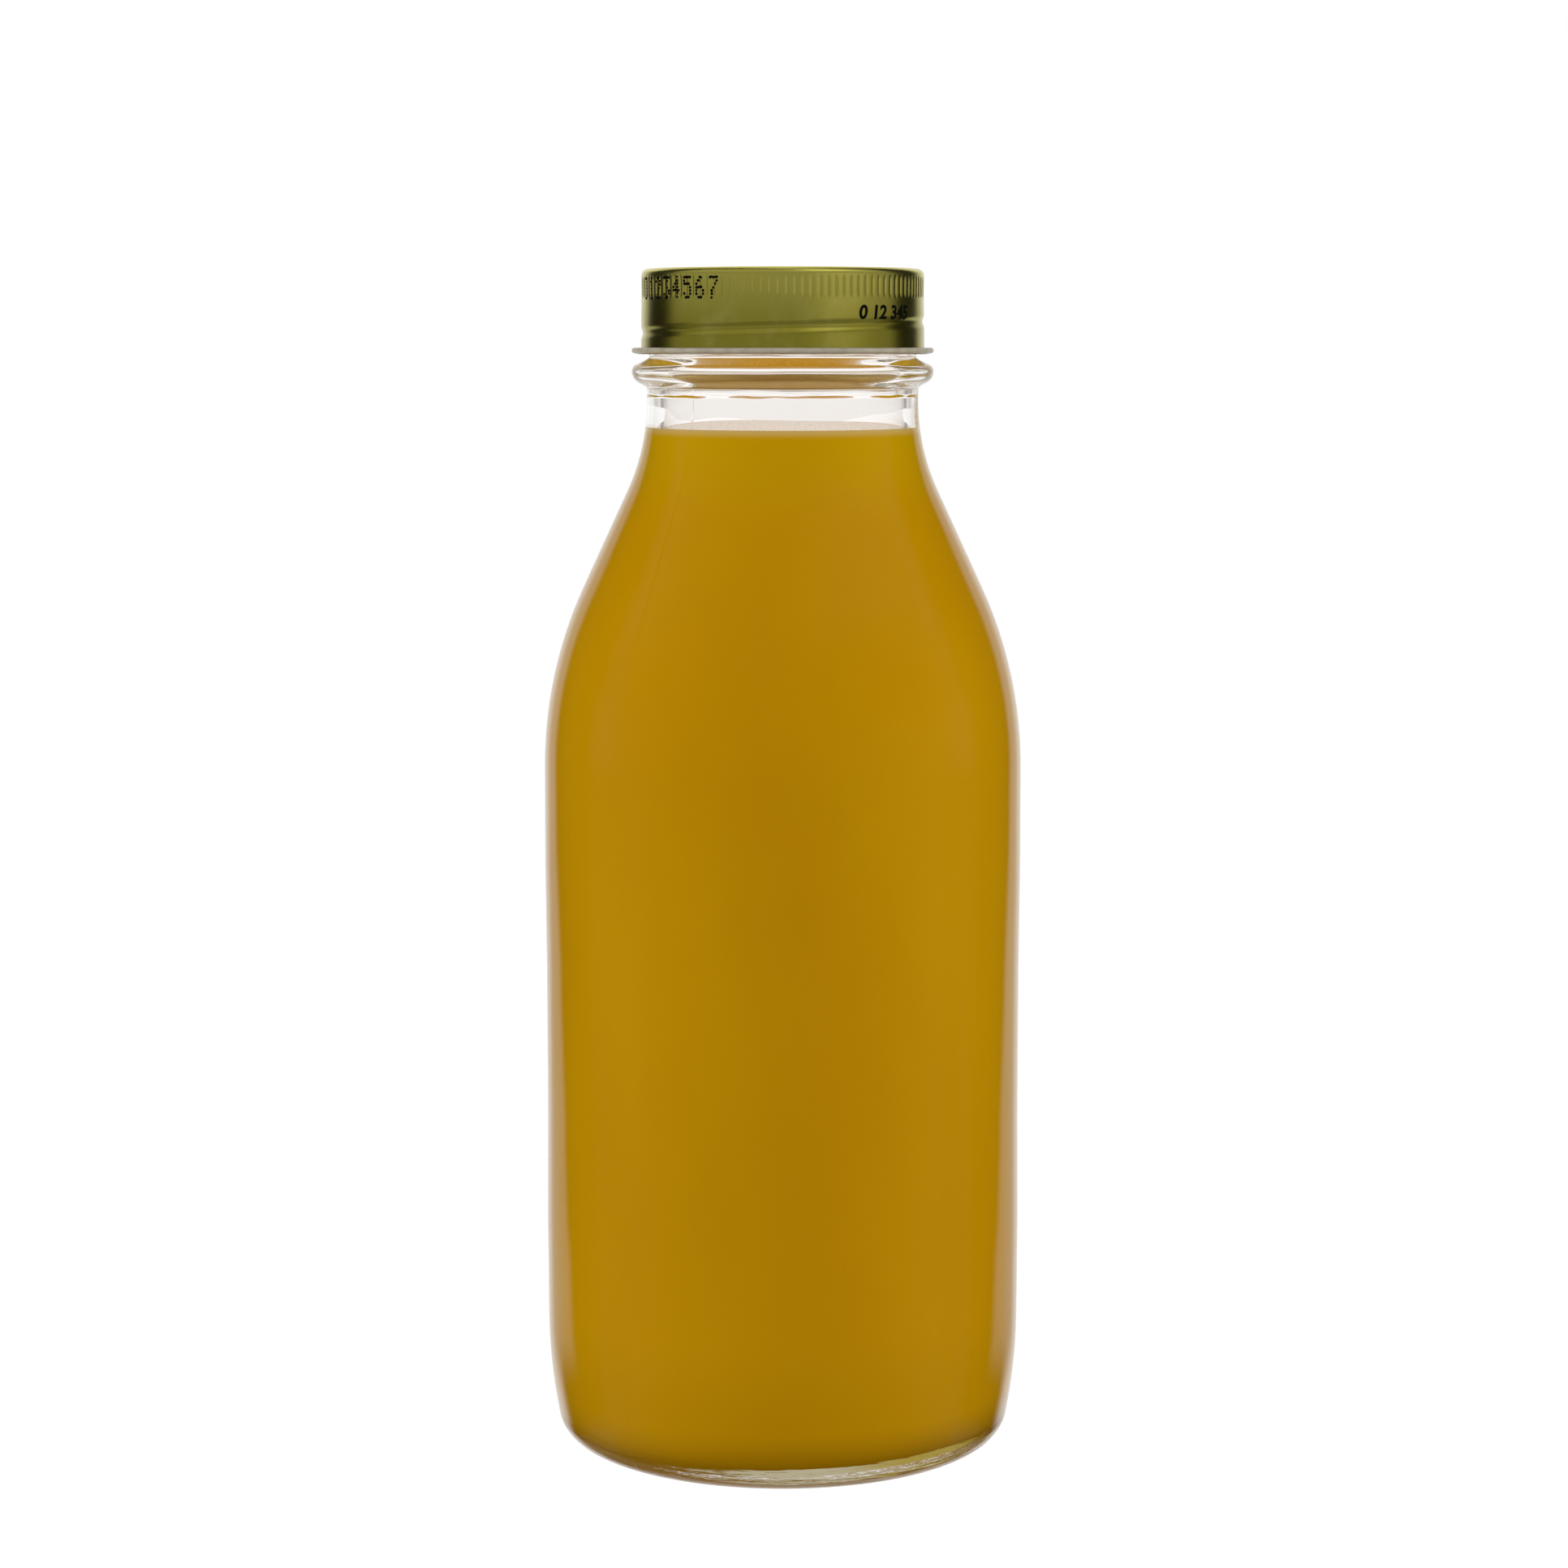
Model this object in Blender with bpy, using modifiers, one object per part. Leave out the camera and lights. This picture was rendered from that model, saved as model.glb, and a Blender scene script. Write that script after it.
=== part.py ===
"""Screw-top glass bottle of yellow juice, with a pressed metal lid.

The bottle, the juice and the lid are three turned shapes on the Z axis. The origin is in the middle of
the ring that the bottle rests on, +Z is up and -Y is the front. Lengths are in metres.
"""
import math

import bmesh
import bpy
from mathutils import Matrix, Vector

MM = 0.001

# How finely the round shapes are cut into faces
CHORD_ERROR = 0.1 * MM
BOTTLE_STEPS = 48
JUICE_STEPS = 40
LID_STEPS = 36
MERGE_DISTANCE = 0.01 * MM
CLEARANCE = 0.3 * MM

# Outside of the glass, from the base up
RING_OUTER_RADIUS = 40.0 * MM
RING_INNER_RADIUS = 37.6 * MM
PUNT_RADIUS = 33.0 * MM
PUNT_EDGE_HEIGHT = 1.9 * MM
PUNT_HEIGHT = 3.2 * MM
HEEL_FILLET = 6.5 * MM
HEEL_TURN = math.radians(79.0)
BODY_RADIUS = 48.5 * MM
PANEL_RADIUS = 48.32 * MM
PANEL_LOW, PANEL_HIGH = 68.0 * MM, 98.0 * MM
PANEL_BLEND = 22.0 * MM
SHOULDER_FOOT_RADIUS = 48.4 * MM
SHOULDER_FOOT_HEIGHT = 158.2 * MM
SHOULDER_FOOT_FILLET = 87.0 * MM
NECK_RADIUS = 27.35 * MM
NECK_FOOT_HEIGHT = 203.6 * MM
NECK_FOOT_FILLET = 43.7 * MM

# Bead round the neck, below the lid
BEAD_APEX_RADIUS = 31.58 * MM
BEAD_APEX_HEIGHT = 218.2 * MM
BEAD_FOOT_HEIGHT = 215.8 * MM
BEAD_TOP_HEIGHT = 221.6 * MM
BEAD_NOSE_FILLET = 1.8 * MM
BEAD_ROOT_FILLET = 1.0 * MM

# Threaded mouth under the lid
MOUTH_RADIUS = 26.9 * MM
RIM_FILLET = 1.1 * MM

# Inside of the glass
BODY_WALL = 4.0 * MM
SHOULDER_WALL = 3.7 * MM
NECK_WALL = 3.15 * MM
FLOOR_EDGE_HEIGHT = 5.2 * MM
FLOOR_EDGE_RADIUS = 30.0 * MM
FLOOR_RISE = 1.6 * MM
FLOOR_FILLET = 10.0 * MM

# Level of the juice
JUICE_HEIGHT = 207.0 * MM

# Pressed lid: the sizes are those of its lacquered outside
SHEET = 0.25 * MM
LID_TOP = 239.2 * MM
LID_RADIUS = 28.35 * MM
LID_FOOT_RADIUS = 28.5 * MM
LID_FILLET = 1.3 * MM
PANEL_STEP = 0.6 * MM
PANEL_STEP_RADIUS = 23.4 * MM
RIB_TOP, RIB_FOOT = 237.6 * MM, 233.8 * MM
RIBS_PER_STEP = 3
RIB_MARGIN = 0.55 * MM
RIB_DEPTH = 0.22 * MM
CURL_TIP_RADIUS = 30.35 * MM
CURL_FOOT, CURL_TOP = 222.3 * MM, 223.9 * MM
CURL_END_RADIUS = 28.95 * MM
CURL_BEND_FILLET = 0.35 * MM

# Right-hand thread: a groove pressed into the lid, and above it the ridge on the glass
THREAD_CLIMB = 4.8 * MM
THREAD_END = math.radians(150.0)
THREAD_FADE = math.radians(30.0)
GROOVE_HEIGHT = 227.6 * MM
GROOVE_HALF_WIDTH = 1.4 * MM
GROOVE_DEPTH = 0.6 * MM
RIDGE_HEIGHT = GROOVE_HEIGHT + 2.5 * MM
RIDGE_HALF_WIDTH = 1.1 * MM
RIDGE_DEPTH = 0.85 * MM

# Colours as linear red, green, blue
GLASS_COLOUR = (0.90, 0.93, 0.91)
JUICE_COLOUR = (0.43, 0.205, 0.004)
LID_COLOUR = (0.30, 0.27, 0.09)


def clear_scene():
    """Remove whatever the file starts with."""
    for thing in list(bpy.data.objects):
        bpy.data.objects.remove(thing)


def finish(name, colour, roughness, metallic=0.0, transmission=0.0):
    """Principled material of one colour."""
    material = bpy.data.materials.new(name)
    material.use_nodes = True
    shader = material.node_tree.nodes["Principled BSDF"]
    shader.inputs["Base Color"].default_value = (*colour, 1.0)
    shader.inputs["Roughness"].default_value = roughness
    shader.inputs["Metallic"].default_value = metallic
    shader.inputs["Transmission Weight"].default_value = transmission
    material.diffuse_color = (*colour, 1.0)
    return material


def rounded(corners):
    """Points of an outline given by its corners (radius, height, fillet).

    A corner with a fillet becomes an arc that touches both of its sides, cut into chords that stay
    within CHORD_ERROR of it. A corner without one stays a single point.
    """
    points = []
    for index, (radius, height, fillet) in enumerate(corners):
        corner = Vector((radius, height))
        if not fillet:
            points.append(corner)
            continue
        back = (Vector(corners[index - 1][:2]) - corner).normalized()
        ahead = (Vector(corners[index + 1][:2]) - corner).normalized()
        half = back.angle(ahead) / 2
        turn = math.pi - 2 * half
        centre = corner + (back + ahead).normalized() * fillet / math.sin(half)
        arm = back * fillet / math.tan(half) + corner - centre
        chord_turn = 2 * math.acos(1 - min(CHORD_ERROR / fillet, 0.5))
        chords = max(1, math.ceil(turn / chord_turn))
        way = math.copysign(1.0, ahead.cross(back))
        for chord in range(chords + 1):
            points.append(centre + Matrix.Rotation(way * turn * chord / chords, 2) @ arm)
    return points


def arc(centre_radius, centre_height, size, start, end):
    """Points of an arc about a centre, from one angle to another, as corners without fillets."""
    chords = math.ceil(abs(end - start) / (2 * math.acos(1 - CHORD_ERROR / size)))
    angles = [start + (end - start) * chord / chords for chord in range(chords + 1)]
    return [(centre_radius + size * math.cos(a), centre_height + size * math.sin(a), 0.0) for a in angles]


def turned(name, outline, steps, material, collection):
    """Object that turns an outline round Z; the outline runs down its outer side, top to bottom."""
    mesh = bpy.data.meshes.new(name)
    vertices = [(point.x, 0.0, point.y) for point in outline]
    edges = [(index, index + 1) for index in range(len(outline) - 1)]
    mesh.from_pydata(vertices, edges, [])
    mesh.materials.append(material)
    thing = bpy.data.objects.new(name, mesh)
    collection.objects.link(thing)
    screw = thing.modifiers.new("turn", 'SCREW')
    screw.steps = steps
    screw.render_steps = steps
    screw.use_merge_vertices = True
    screw.merge_threshold = MERGE_DISTANCE
    screw.use_smooth_shade = True
    return thing


def apply_modifiers(thing):
    """Replace an object's mesh with what its modifiers make of it."""
    graph = bpy.context.evaluated_depsgraph_get()
    solid = bpy.data.meshes.new_from_object(thing.evaluated_get(graph))
    solid.name = thing.name
    profile = thing.data
    thing.modifiers.clear()
    thing.data = solid
    bpy.data.meshes.remove(profile)


def thread_rows(height, half_width, radius_at, fractions):
    """Outline corners, top to bottom, of the rows that carry a thread."""
    return [(radius_at(height + f * half_width), height + f * half_width, 0.0) for f in fractions]


def wind_thread(form, height, half_width, depth, least_radius):
    """Turn the rows about one height into a one-turn thread that fades out at the back.

    The rows climb by THREAD_CLIMB a turn from THREAD_END left of the front to THREAD_END right of it,
    and drop back between the two ends, where the thread has no depth.
    """
    for vertex in form.verts:
        x, y, z = vertex.co
        radius = math.hypot(x, y)
        offset = (z - height) / half_width
        if radius < least_radius or abs(offset) > 1.001:
            continue
        angle = math.atan2(x, -y)
        reach = min(abs(angle), THREAD_END)
        back = (abs(angle) - reach) / (math.pi - THREAD_END)
        lift = THREAD_CLIMB * math.copysign(reach, angle) / math.tau * (1 - back)
        strength = min(1.0, max(0.0, (THREAD_END - abs(angle)) / THREAD_FADE))
        swell = depth * strength * math.cos(offset * math.pi / 2) ** 2
        scale = (radius + swell) / radius
        vertex.co = (x * scale, y * scale, z + lift)


def press_ribs(form):
    """Press the ring of upright ribs into the lid's skirt, RIBS_PER_STEP to each of its faces."""
    def at_height(edge, height):
        return all(abs(vertex.co.z - height) < MERGE_DISTANCE for vertex in edge.verts)

    rails = [e for e in form.edges if at_height(e, RIB_TOP) or at_height(e, RIB_FOOT)]
    bmesh.ops.subdivide_edges(form, edges=rails, cuts=RIBS_PER_STEP - 1, use_grid_fill=True)
    for vertex in form.verts:
        if min(abs(vertex.co.z - RIB_TOP), abs(vertex.co.z - RIB_FOOT)) < MERGE_DISTANCE:
            scale = LID_RADIUS / math.hypot(vertex.co.x, vertex.co.y)
            vertex.co = (vertex.co.x * scale, vertex.co.y * scale, vertex.co.z)
    middle = (RIB_TOP + RIB_FOOT) / 2
    cells = [f for f in form.faces if abs(f.calc_center_median().z - middle) < MERGE_DISTANCE]
    bmesh.ops.inset_individual(form, faces=cells, thickness=RIB_MARGIN, depth=-RIB_DEPTH)


def inside(gap):
    """Corners of the glass's inside, moved in by a gap, from the floor's middle up to the neck."""
    lean = (SHOULDER_FOOT_RADIUS - NECK_RADIUS) / (NECK_FOOT_HEIGHT - SHOULDER_FOOT_HEIGHT)
    shift = (SHOULDER_WALL + gap) * math.hypot(1.0, lean)
    body = BODY_RADIUS - BODY_WALL - gap
    neck = NECK_RADIUS - NECK_WALL - gap
    shoulder_foot = SHOULDER_FOOT_HEIGHT + (SHOULDER_FOOT_RADIUS - shift - body) / lean
    neck_foot = SHOULDER_FOOT_HEIGHT + (SHOULDER_FOOT_RADIUS - shift - neck) / lean
    return [
        (0.0, FLOOR_EDGE_HEIGHT + FLOOR_RISE + gap, 0.0),
        (FLOOR_EDGE_RADIUS, FLOOR_EDGE_HEIGHT + gap, 0.0),
        (body, FLOOR_EDGE_HEIGHT + gap, FLOOR_FILLET - gap),
        (body, shoulder_foot, SHOULDER_FOOT_FILLET - SHOULDER_WALL - gap),
        (neck, neck_foot, NECK_FOOT_FILLET + NECK_WALL + gap),
    ]


def make_bottle(collection):
    """Glass bottle, open at the mouth, with a bead and a thread ridge on its neck."""
    rim_top = LID_TOP - SHEET - CLEARANCE
    rim_inner = NECK_RADIUS - NECK_WALL
    ridge = (1.0, 0.4, -0.4, -1.0)
    heel_end = RING_OUTER_RADIUS + HEEL_FILLET * math.sin(HEEL_TURN)
    wall_fillet = (SHOULDER_FOOT_RADIUS - heel_end) / (1 - math.sin(HEEL_TURN))
    wall_centre = HEEL_FILLET * (1 - math.cos(HEEL_TURN)) + wall_fillet * math.cos(HEEL_TURN)
    corners = [
        *inside(0.0),
        (rim_inner, rim_top, RIM_FILLET),
        (MOUTH_RADIUS, rim_top, RIM_FILLET),
        *thread_rows(RIDGE_HEIGHT, RIDGE_HALF_WIDTH, lambda height: MOUTH_RADIUS, ridge),
        (MOUTH_RADIUS, BEAD_TOP_HEIGHT, BEAD_ROOT_FILLET),
        (BEAD_APEX_RADIUS, BEAD_APEX_HEIGHT, BEAD_NOSE_FILLET),
        (NECK_RADIUS, BEAD_FOOT_HEIGHT, BEAD_ROOT_FILLET),
        (NECK_RADIUS, NECK_FOOT_HEIGHT, NECK_FOOT_FILLET),
        (SHOULDER_FOOT_RADIUS, SHOULDER_FOOT_HEIGHT, SHOULDER_FOOT_FILLET),
        (BODY_RADIUS, PANEL_HIGH + PANEL_BLEND, 0.0),
        (PANEL_RADIUS, PANEL_HIGH, 0.0),
        (PANEL_RADIUS, PANEL_LOW, 0.0),
        (BODY_RADIUS, PANEL_LOW - PANEL_BLEND, 0.0),
        *arc(SHOULDER_FOOT_RADIUS - wall_fillet, wall_centre, wall_fillet, 0.0, HEEL_TURN - math.pi / 2),
        *arc(RING_OUTER_RADIUS, HEEL_FILLET, HEEL_FILLET, HEEL_TURN - math.pi / 2, -math.pi / 2)[1:],
        (RING_INNER_RADIUS, 0.0, 0.0),
        (PUNT_RADIUS, PUNT_EDGE_HEIGHT, 0.0),
        (0.0, PUNT_HEIGHT, 0.0),
    ]
    glass = finish("clear_glass", GLASS_COLOUR, 0.03, transmission=1.0)
    bottle = turned("bottle", rounded(corners), BOTTLE_STEPS, glass, collection)
    apply_modifiers(bottle)
    form = bmesh.new()
    form.from_mesh(bottle.data)
    wind_thread(form, RIDGE_HEIGHT, RIDGE_HALF_WIDTH, RIDGE_DEPTH, MOUTH_RADIUS - MERGE_DISTANCE)
    form.to_mesh(bottle.data)
    form.free()
    return bottle


def filled(outline, level):
    """Outline of what fills an upward inside outline to a level, from the middle of its surface down."""
    wet = [point for point in outline if point.y < level]
    last, dry = wet[-1], outline[len(wet)]
    edge = last.lerp(dry, (level - last.y) / (dry.y - last.y))
    return [Vector((0.0, level)), edge, *reversed(wet)]


def make_juice(collection):
    """Juice up to its level in the neck, clear of the glass."""
    corners = inside(CLEARANCE)
    neck = corners[-1][0]
    outline = filled(rounded([*corners, (neck, LID_TOP, 0.0)]), JUICE_HEIGHT)
    juice = finish("yellow_juice", JUICE_COLOUR, 0.25)
    return turned("juice", outline, JUICE_STEPS, juice, collection)


def make_lid(collection):
    """One-piece lid of thin sheet: recessed panel, ribbed skirt, pressed thread and curled edge."""
    def skirt(height):
        share = (RIB_FOOT - height) / (RIB_FOOT - CURL_TOP)
        return LID_RADIUS + (LID_FOOT_RADIUS - LID_RADIUS) * share

    groove = (1.0, 0.5, 0.0, -0.5, -1.0)
    curl_size = (CURL_TOP - CURL_FOOT) / 2 - SHEET
    curl_centre = CURL_TIP_RADIUS - SHEET - curl_size
    curl_middle = (CURL_TOP + CURL_FOOT) / 2
    corners = [
        (0.0, LID_TOP - PANEL_STEP, 0.0),
        (PANEL_STEP_RADIUS - PANEL_STEP, LID_TOP - PANEL_STEP, 0.0),
        (PANEL_STEP_RADIUS, LID_TOP, 0.0),
        (LID_RADIUS, LID_TOP, LID_FILLET),
        (LID_RADIUS, RIB_TOP, 0.0),
        (LID_RADIUS, RIB_FOOT, 0.0),
        *thread_rows(GROOVE_HEIGHT, GROOVE_HALF_WIDTH, skirt, groove),
        (LID_FOOT_RADIUS, CURL_FOOT + SHEET, CURL_BEND_FILLET),
        *arc(curl_centre, curl_middle, curl_size, -math.pi / 2, math.pi / 2),
        (CURL_END_RADIUS, CURL_TOP - SHEET, 0.0),
    ]
    lacquer = finish("gold_lacquer", LID_COLOUR, 0.35, metallic=0.9)
    lid = turned("lid", rounded(corners), LID_STEPS, lacquer, collection)
    apply_modifiers(lid)
    form = bmesh.new()
    form.from_mesh(lid.data)
    wind_thread(form, GROOVE_HEIGHT, GROOVE_HALF_WIDTH, -GROOVE_DEPTH, 0.0)
    press_ribs(form)
    form.to_mesh(lid.data)
    form.free()
    thicken = lid.modifiers.new("sheet", 'SOLIDIFY')
    thicken.thickness = SHEET
    thicken.offset = -1.0
    thicken.use_even_offset = True
    return lid


def main():
    """Build the bottle, its juice and its lid."""
    clear_scene()
    collection = bpy.data.collections.new("screw_top_bottle")
    bpy.context.scene.collection.children.link(collection)
    make_bottle(collection)
    make_juice(collection)
    make_lid(collection)


if __name__ == "__main__":
    main()
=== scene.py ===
"""Looks of a screw-top glass bottle of yellow juice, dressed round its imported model.

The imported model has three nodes: the glass, the juice and the lid. Each is replaced by a finer surface of
the same form, worked out with numpy from an outline turned round Z and a relief on it. The origin is in the
middle of the ring that the bottle rests on, +Z is up, -Y is the front and +X is to the right. Angles round
the bottle are measured from the front towards the right. Lengths are in metres.
"""

import logging
import math
from collections.abc import Sequence
from dataclasses import dataclass
from enum import Enum

import bmesh
import bpy
import numpy as np
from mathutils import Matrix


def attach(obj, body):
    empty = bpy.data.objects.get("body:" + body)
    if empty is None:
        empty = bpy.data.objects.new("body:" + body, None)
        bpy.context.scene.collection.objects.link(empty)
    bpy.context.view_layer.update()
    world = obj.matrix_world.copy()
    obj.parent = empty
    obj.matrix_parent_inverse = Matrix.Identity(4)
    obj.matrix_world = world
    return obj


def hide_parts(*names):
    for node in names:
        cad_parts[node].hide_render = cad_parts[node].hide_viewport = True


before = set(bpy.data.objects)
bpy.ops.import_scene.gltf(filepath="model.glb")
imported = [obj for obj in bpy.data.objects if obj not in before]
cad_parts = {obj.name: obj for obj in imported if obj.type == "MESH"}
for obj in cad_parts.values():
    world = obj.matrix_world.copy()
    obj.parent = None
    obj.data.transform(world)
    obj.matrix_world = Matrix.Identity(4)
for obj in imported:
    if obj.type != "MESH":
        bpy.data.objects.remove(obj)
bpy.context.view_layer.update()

LOG = logging.getLogger("bottle")

MM = 0.001
TAU = math.tau
BODY = "root"

Array = np.ndarray
Corner = tuple[float, float, float]
Colour = tuple[float, float, float]
Range = tuple[float, float]


class Slot(Enum):
    """Material slots of the record."""

    GLASS = "clear_glass"
    JUICE = "yellow_juice"
    LACQUER = "gold_lacquer"


def unit(vector: Array) -> Array:
    """Vector divided by its length."""
    return vector / np.linalg.norm(vector)


def smooth_step(value: Array, low: float, high: float) -> Array:
    """Rise from 0 at low to 1 at high along 3t^2 - 2t^3, where t is the share of the way between them."""
    share = np.clip((value - low) / (high - low), 0.0, 1.0)
    return share * share * (3.0 - 2.0 * share)


def chord_count(radius: float, turn: float, sag: float) -> int:
    """Number of chords for a turn of an arc, so that the arc stays within a sag of them."""
    return max(2, math.ceil(turn / (2.0 * math.acos(1.0 - min(sag / radius, 0.5)))))


def rounded(corners: Sequence[Corner], sag: float) -> Array:
    """Round off the corners of an outline.

    The arc of a fillet touches both sides of its corner. Its centre lies on the line that halves the corner,
    at fillet / sin(half the corner's angle), and its points are equal turns apart.

    Args:
        corners: radius, height and fillet of each corner; a corner without a fillet stays one point.
        sag: how far the arcs may lie from their chords.

    Returns:
        The outline's points as rows of radius and height.
    """
    points = []
    for index, (radius, height, fillet) in enumerate(corners):
        corner = np.array((radius, height))
        if not fillet:
            points.append(corner[None])
            continue
        back = unit(np.array(corners[index - 1][:2]) - corner)
        ahead = unit(np.array(corners[index + 1][:2]) - corner)
        half = math.acos(back @ ahead) / 2.0
        turn = math.copysign(math.pi - 2.0 * half, ahead[0] * back[1] - ahead[1] * back[0])
        centre = corner + unit(back + ahead) * fillet / math.sin(half)
        arm = corner + back * fillet / math.tan(half) - centre
        angles = turn * np.linspace(0.0, 1.0, chord_count(fillet, abs(turn), sag) + 1)
        cosine, sine = np.cos(angles), np.sin(angles)
        swung = np.column_stack((arm[0] * cosine - arm[1] * sine, arm[0] * sine + arm[1] * cosine))
        points.append(centre + swung)
    return np.vstack(points)


def arc(centre: tuple[float, float], radius: float, start: float, end: float, sag: float) -> list[Corner]:
    """Corners without fillets along an arc.

    Args:
        centre: radius and height of the arc's centre.
        radius: the arc's own radius.
        start: angle of its first point, from the outward direction towards up.
        end: angle of its last point.
        sag: how far the arc may lie from its chords.

    Returns:
        The corners from start to end.
    """
    angles = np.linspace(start, end, chord_count(radius, abs(end - start), sag) + 1)
    return [(centre[0] + radius * math.cos(a), centre[1] + radius * math.sin(a), 0.0) for a in angles]


def refined(outline: Array, longest: float) -> Array:
    """Cut the long stretches of an outline into equal parts.

    Args:
        outline: points as rows of radius and height.
        longest: greatest length of a part.

    Returns:
        The outline with the points added.
    """
    spans = np.linalg.norm(np.diff(outline, axis=0), axis=1)
    parts = np.maximum(1, np.ceil(spans / longest - 1e-6)).astype(int)
    stations = np.concatenate(([0.0], np.cumsum(np.repeat(1.0 / parts, parts))))
    stations[-1] = len(spans)
    marks = np.arange(len(outline))
    return np.column_stack([np.interp(stations, marks, outline[:, axis]) for axis in (0, 1)])


def outline_normals(outline: Array) -> Array:
    """Work out the outward directions of an outline that runs down its outer side.

    They are its run turned a quarter left.

    Args:
        outline: points as rows of radius and height.

    Returns:
        The directions, of length 1.
    """
    run = np.gradient(outline, axis=0)
    normals = np.column_stack((-run[:, 1], run[:, 0]))
    return normals / np.linalg.norm(normals, axis=1, keepdims=True)


def lengths_along(outline: Array) -> Array:
    """Distance of each point from the first, along the outline."""
    return np.concatenate(([0.0], np.cumsum(np.linalg.norm(np.diff(outline, axis=0), axis=1))))


def turned(radius: Array, height: Array, angle: Array) -> Array:
    """Points at a radius, a height and an angle: (r sin a, -r cos a, z)."""
    return np.stack(np.broadcast_arrays(radius * np.sin(angle), -radius * np.cos(angle), height), axis=-1)


def columns(count: int, seams: Sequence[float], spread: float, extra: int) -> Array:
    """Angles of a grid's columns, evenly round with more of them at each seam.

    Args:
        count: number of even columns.
        seams: angles with more columns about them.
        spread: half the angle that the extra columns of a seam cover.
        extra: number of extra columns of a seam.

    Returns:
        The angles in rising order, from -pi up to pi.
    """
    even = -math.pi + TAU * np.arange(count) / count
    keep = np.all([np.abs(even - seam) > spread for seam in seams], axis=0)
    added = [seam + np.linspace(-spread, spread, extra) for seam in seams]
    return np.sort(np.concatenate([even[keep], *added]))


def skin_faces(count: int, wide: int) -> tuple[Array, Array]:
    """Faces of rings of points that run from one pole to another, closed round and at both poles.

    A face joins points (i, j), (i+1, j), (i+1, j+1) and (i, j+1), which looks outwards when the rings run
    down an outer side and their points go round from the front to the right. The poles are the two points
    after the last ring.

    Args:
        count: number of rings.
        wide: number of points in a ring.

    Returns:
        The faces of four and of three points.
    """
    index = np.arange(count * wide).reshape(count, wide)
    beside = np.roll(index, -1, axis=1)
    quads = np.stack((index[:-1], index[1:], beside[1:], beside[:-1]), axis=-1).reshape(-1, 4)
    first, last = np.full(wide, count * wide), np.full(wide, count * wide + 1)
    caps = np.concatenate((np.column_stack((first, index[0], beside[0])),
                           np.column_stack((last, beside[-1], index[-1]))))
    return quads, caps


def closed_skin(name: str, rings: Array, poles: tuple[float, float]) -> bpy.types.Mesh:
    """Mesh of rings of points that run from one pole to another, closed round and at both poles.

    Args:
        name: the mesh's name.
        rings: points as an array of rings, columns and coordinates.
        poles: heights on the axis of the points before the first ring and after the last.

    Returns:
        The mesh, shaded smooth.
    """
    quads, caps = skin_faces(*rings.shape[:2])
    points = np.concatenate((rings.reshape(-1, 3), [(0.0, 0.0, height) for height in poles]))
    mesh = bpy.data.meshes.new(name)
    mesh.from_pydata(points, [], quads.tolist() + caps.tolist())
    mesh.shade_smooth()
    return mesh


def linked(name: str, data: bpy.types.ID) -> bpy.types.Object:
    """Put an object in the scene.

    Args:
        name: the object's name.
        data: its mesh, curve, lamp or camera.

    Returns:
        The object.
    """
    thing = bpy.data.objects.new(name, data)
    bpy.context.scene.collection.objects.link(thing)
    return thing


def piece(mesh: bpy.types.Mesh, slot: Slot, *nodes: str) -> bpy.types.Object:
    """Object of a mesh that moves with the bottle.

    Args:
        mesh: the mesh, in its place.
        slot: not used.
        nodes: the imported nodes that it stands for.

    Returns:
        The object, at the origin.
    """
    thing = linked(mesh.name, mesh)
    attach(thing, BODY)
    if nodes:
        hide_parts(*nodes)
    LOG.info("%s: %d faces", thing.name, len(mesh.polygons))
    return thing


def dress(mesh: bpy.types.Mesh, marked: Array, plain: bpy.types.Material, other: bpy.types.Material) -> None:
    """Give a mesh two materials.

    Args:
        mesh: the mesh.
        marked: True for each face that takes the other material.
        plain: material of the rest.
        other: material of the marked faces.
    """
    mesh.materials.append(plain)
    mesh.materials.append(other)
    mesh.polygons.foreach_set("material_index", marked.astype(np.int32))


@dataclass(frozen=True)
class Ripple:
    """Gentle unevenness of a surface: a sum of cosines with random lobes, lengths and phases.

    The height at an angle a and a distance s along the outline is the sum of cos(n a + k s + phase), with
    whole numbers n up to the lobes and wave numbers k up to that of the length, scaled to the depth.
    """

    depth: float
    lobes: int
    length: float
    seed: int
    terms: int = 10

    def at(self, angle: Array, along: Array) -> Array:
        """Work out the ripple.

        Args:
            angle: angles round the bottle.
            along: distances along the outline.

        Returns:
            The height of the ripple.
        """
        draw = np.random.default_rng(self.seed)
        lobes = draw.integers(1, self.lobes + 1, self.terms)
        waves = draw.uniform(-1.0, 1.0, self.terms) * TAU / self.length
        phases = draw.uniform(0.0, TAU, self.terms)
        total = sum(np.cos(n * angle + k * along + p) for n, k, p in zip(lobes, waves, phases))
        return self.depth * total / math.sqrt(self.terms)


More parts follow.
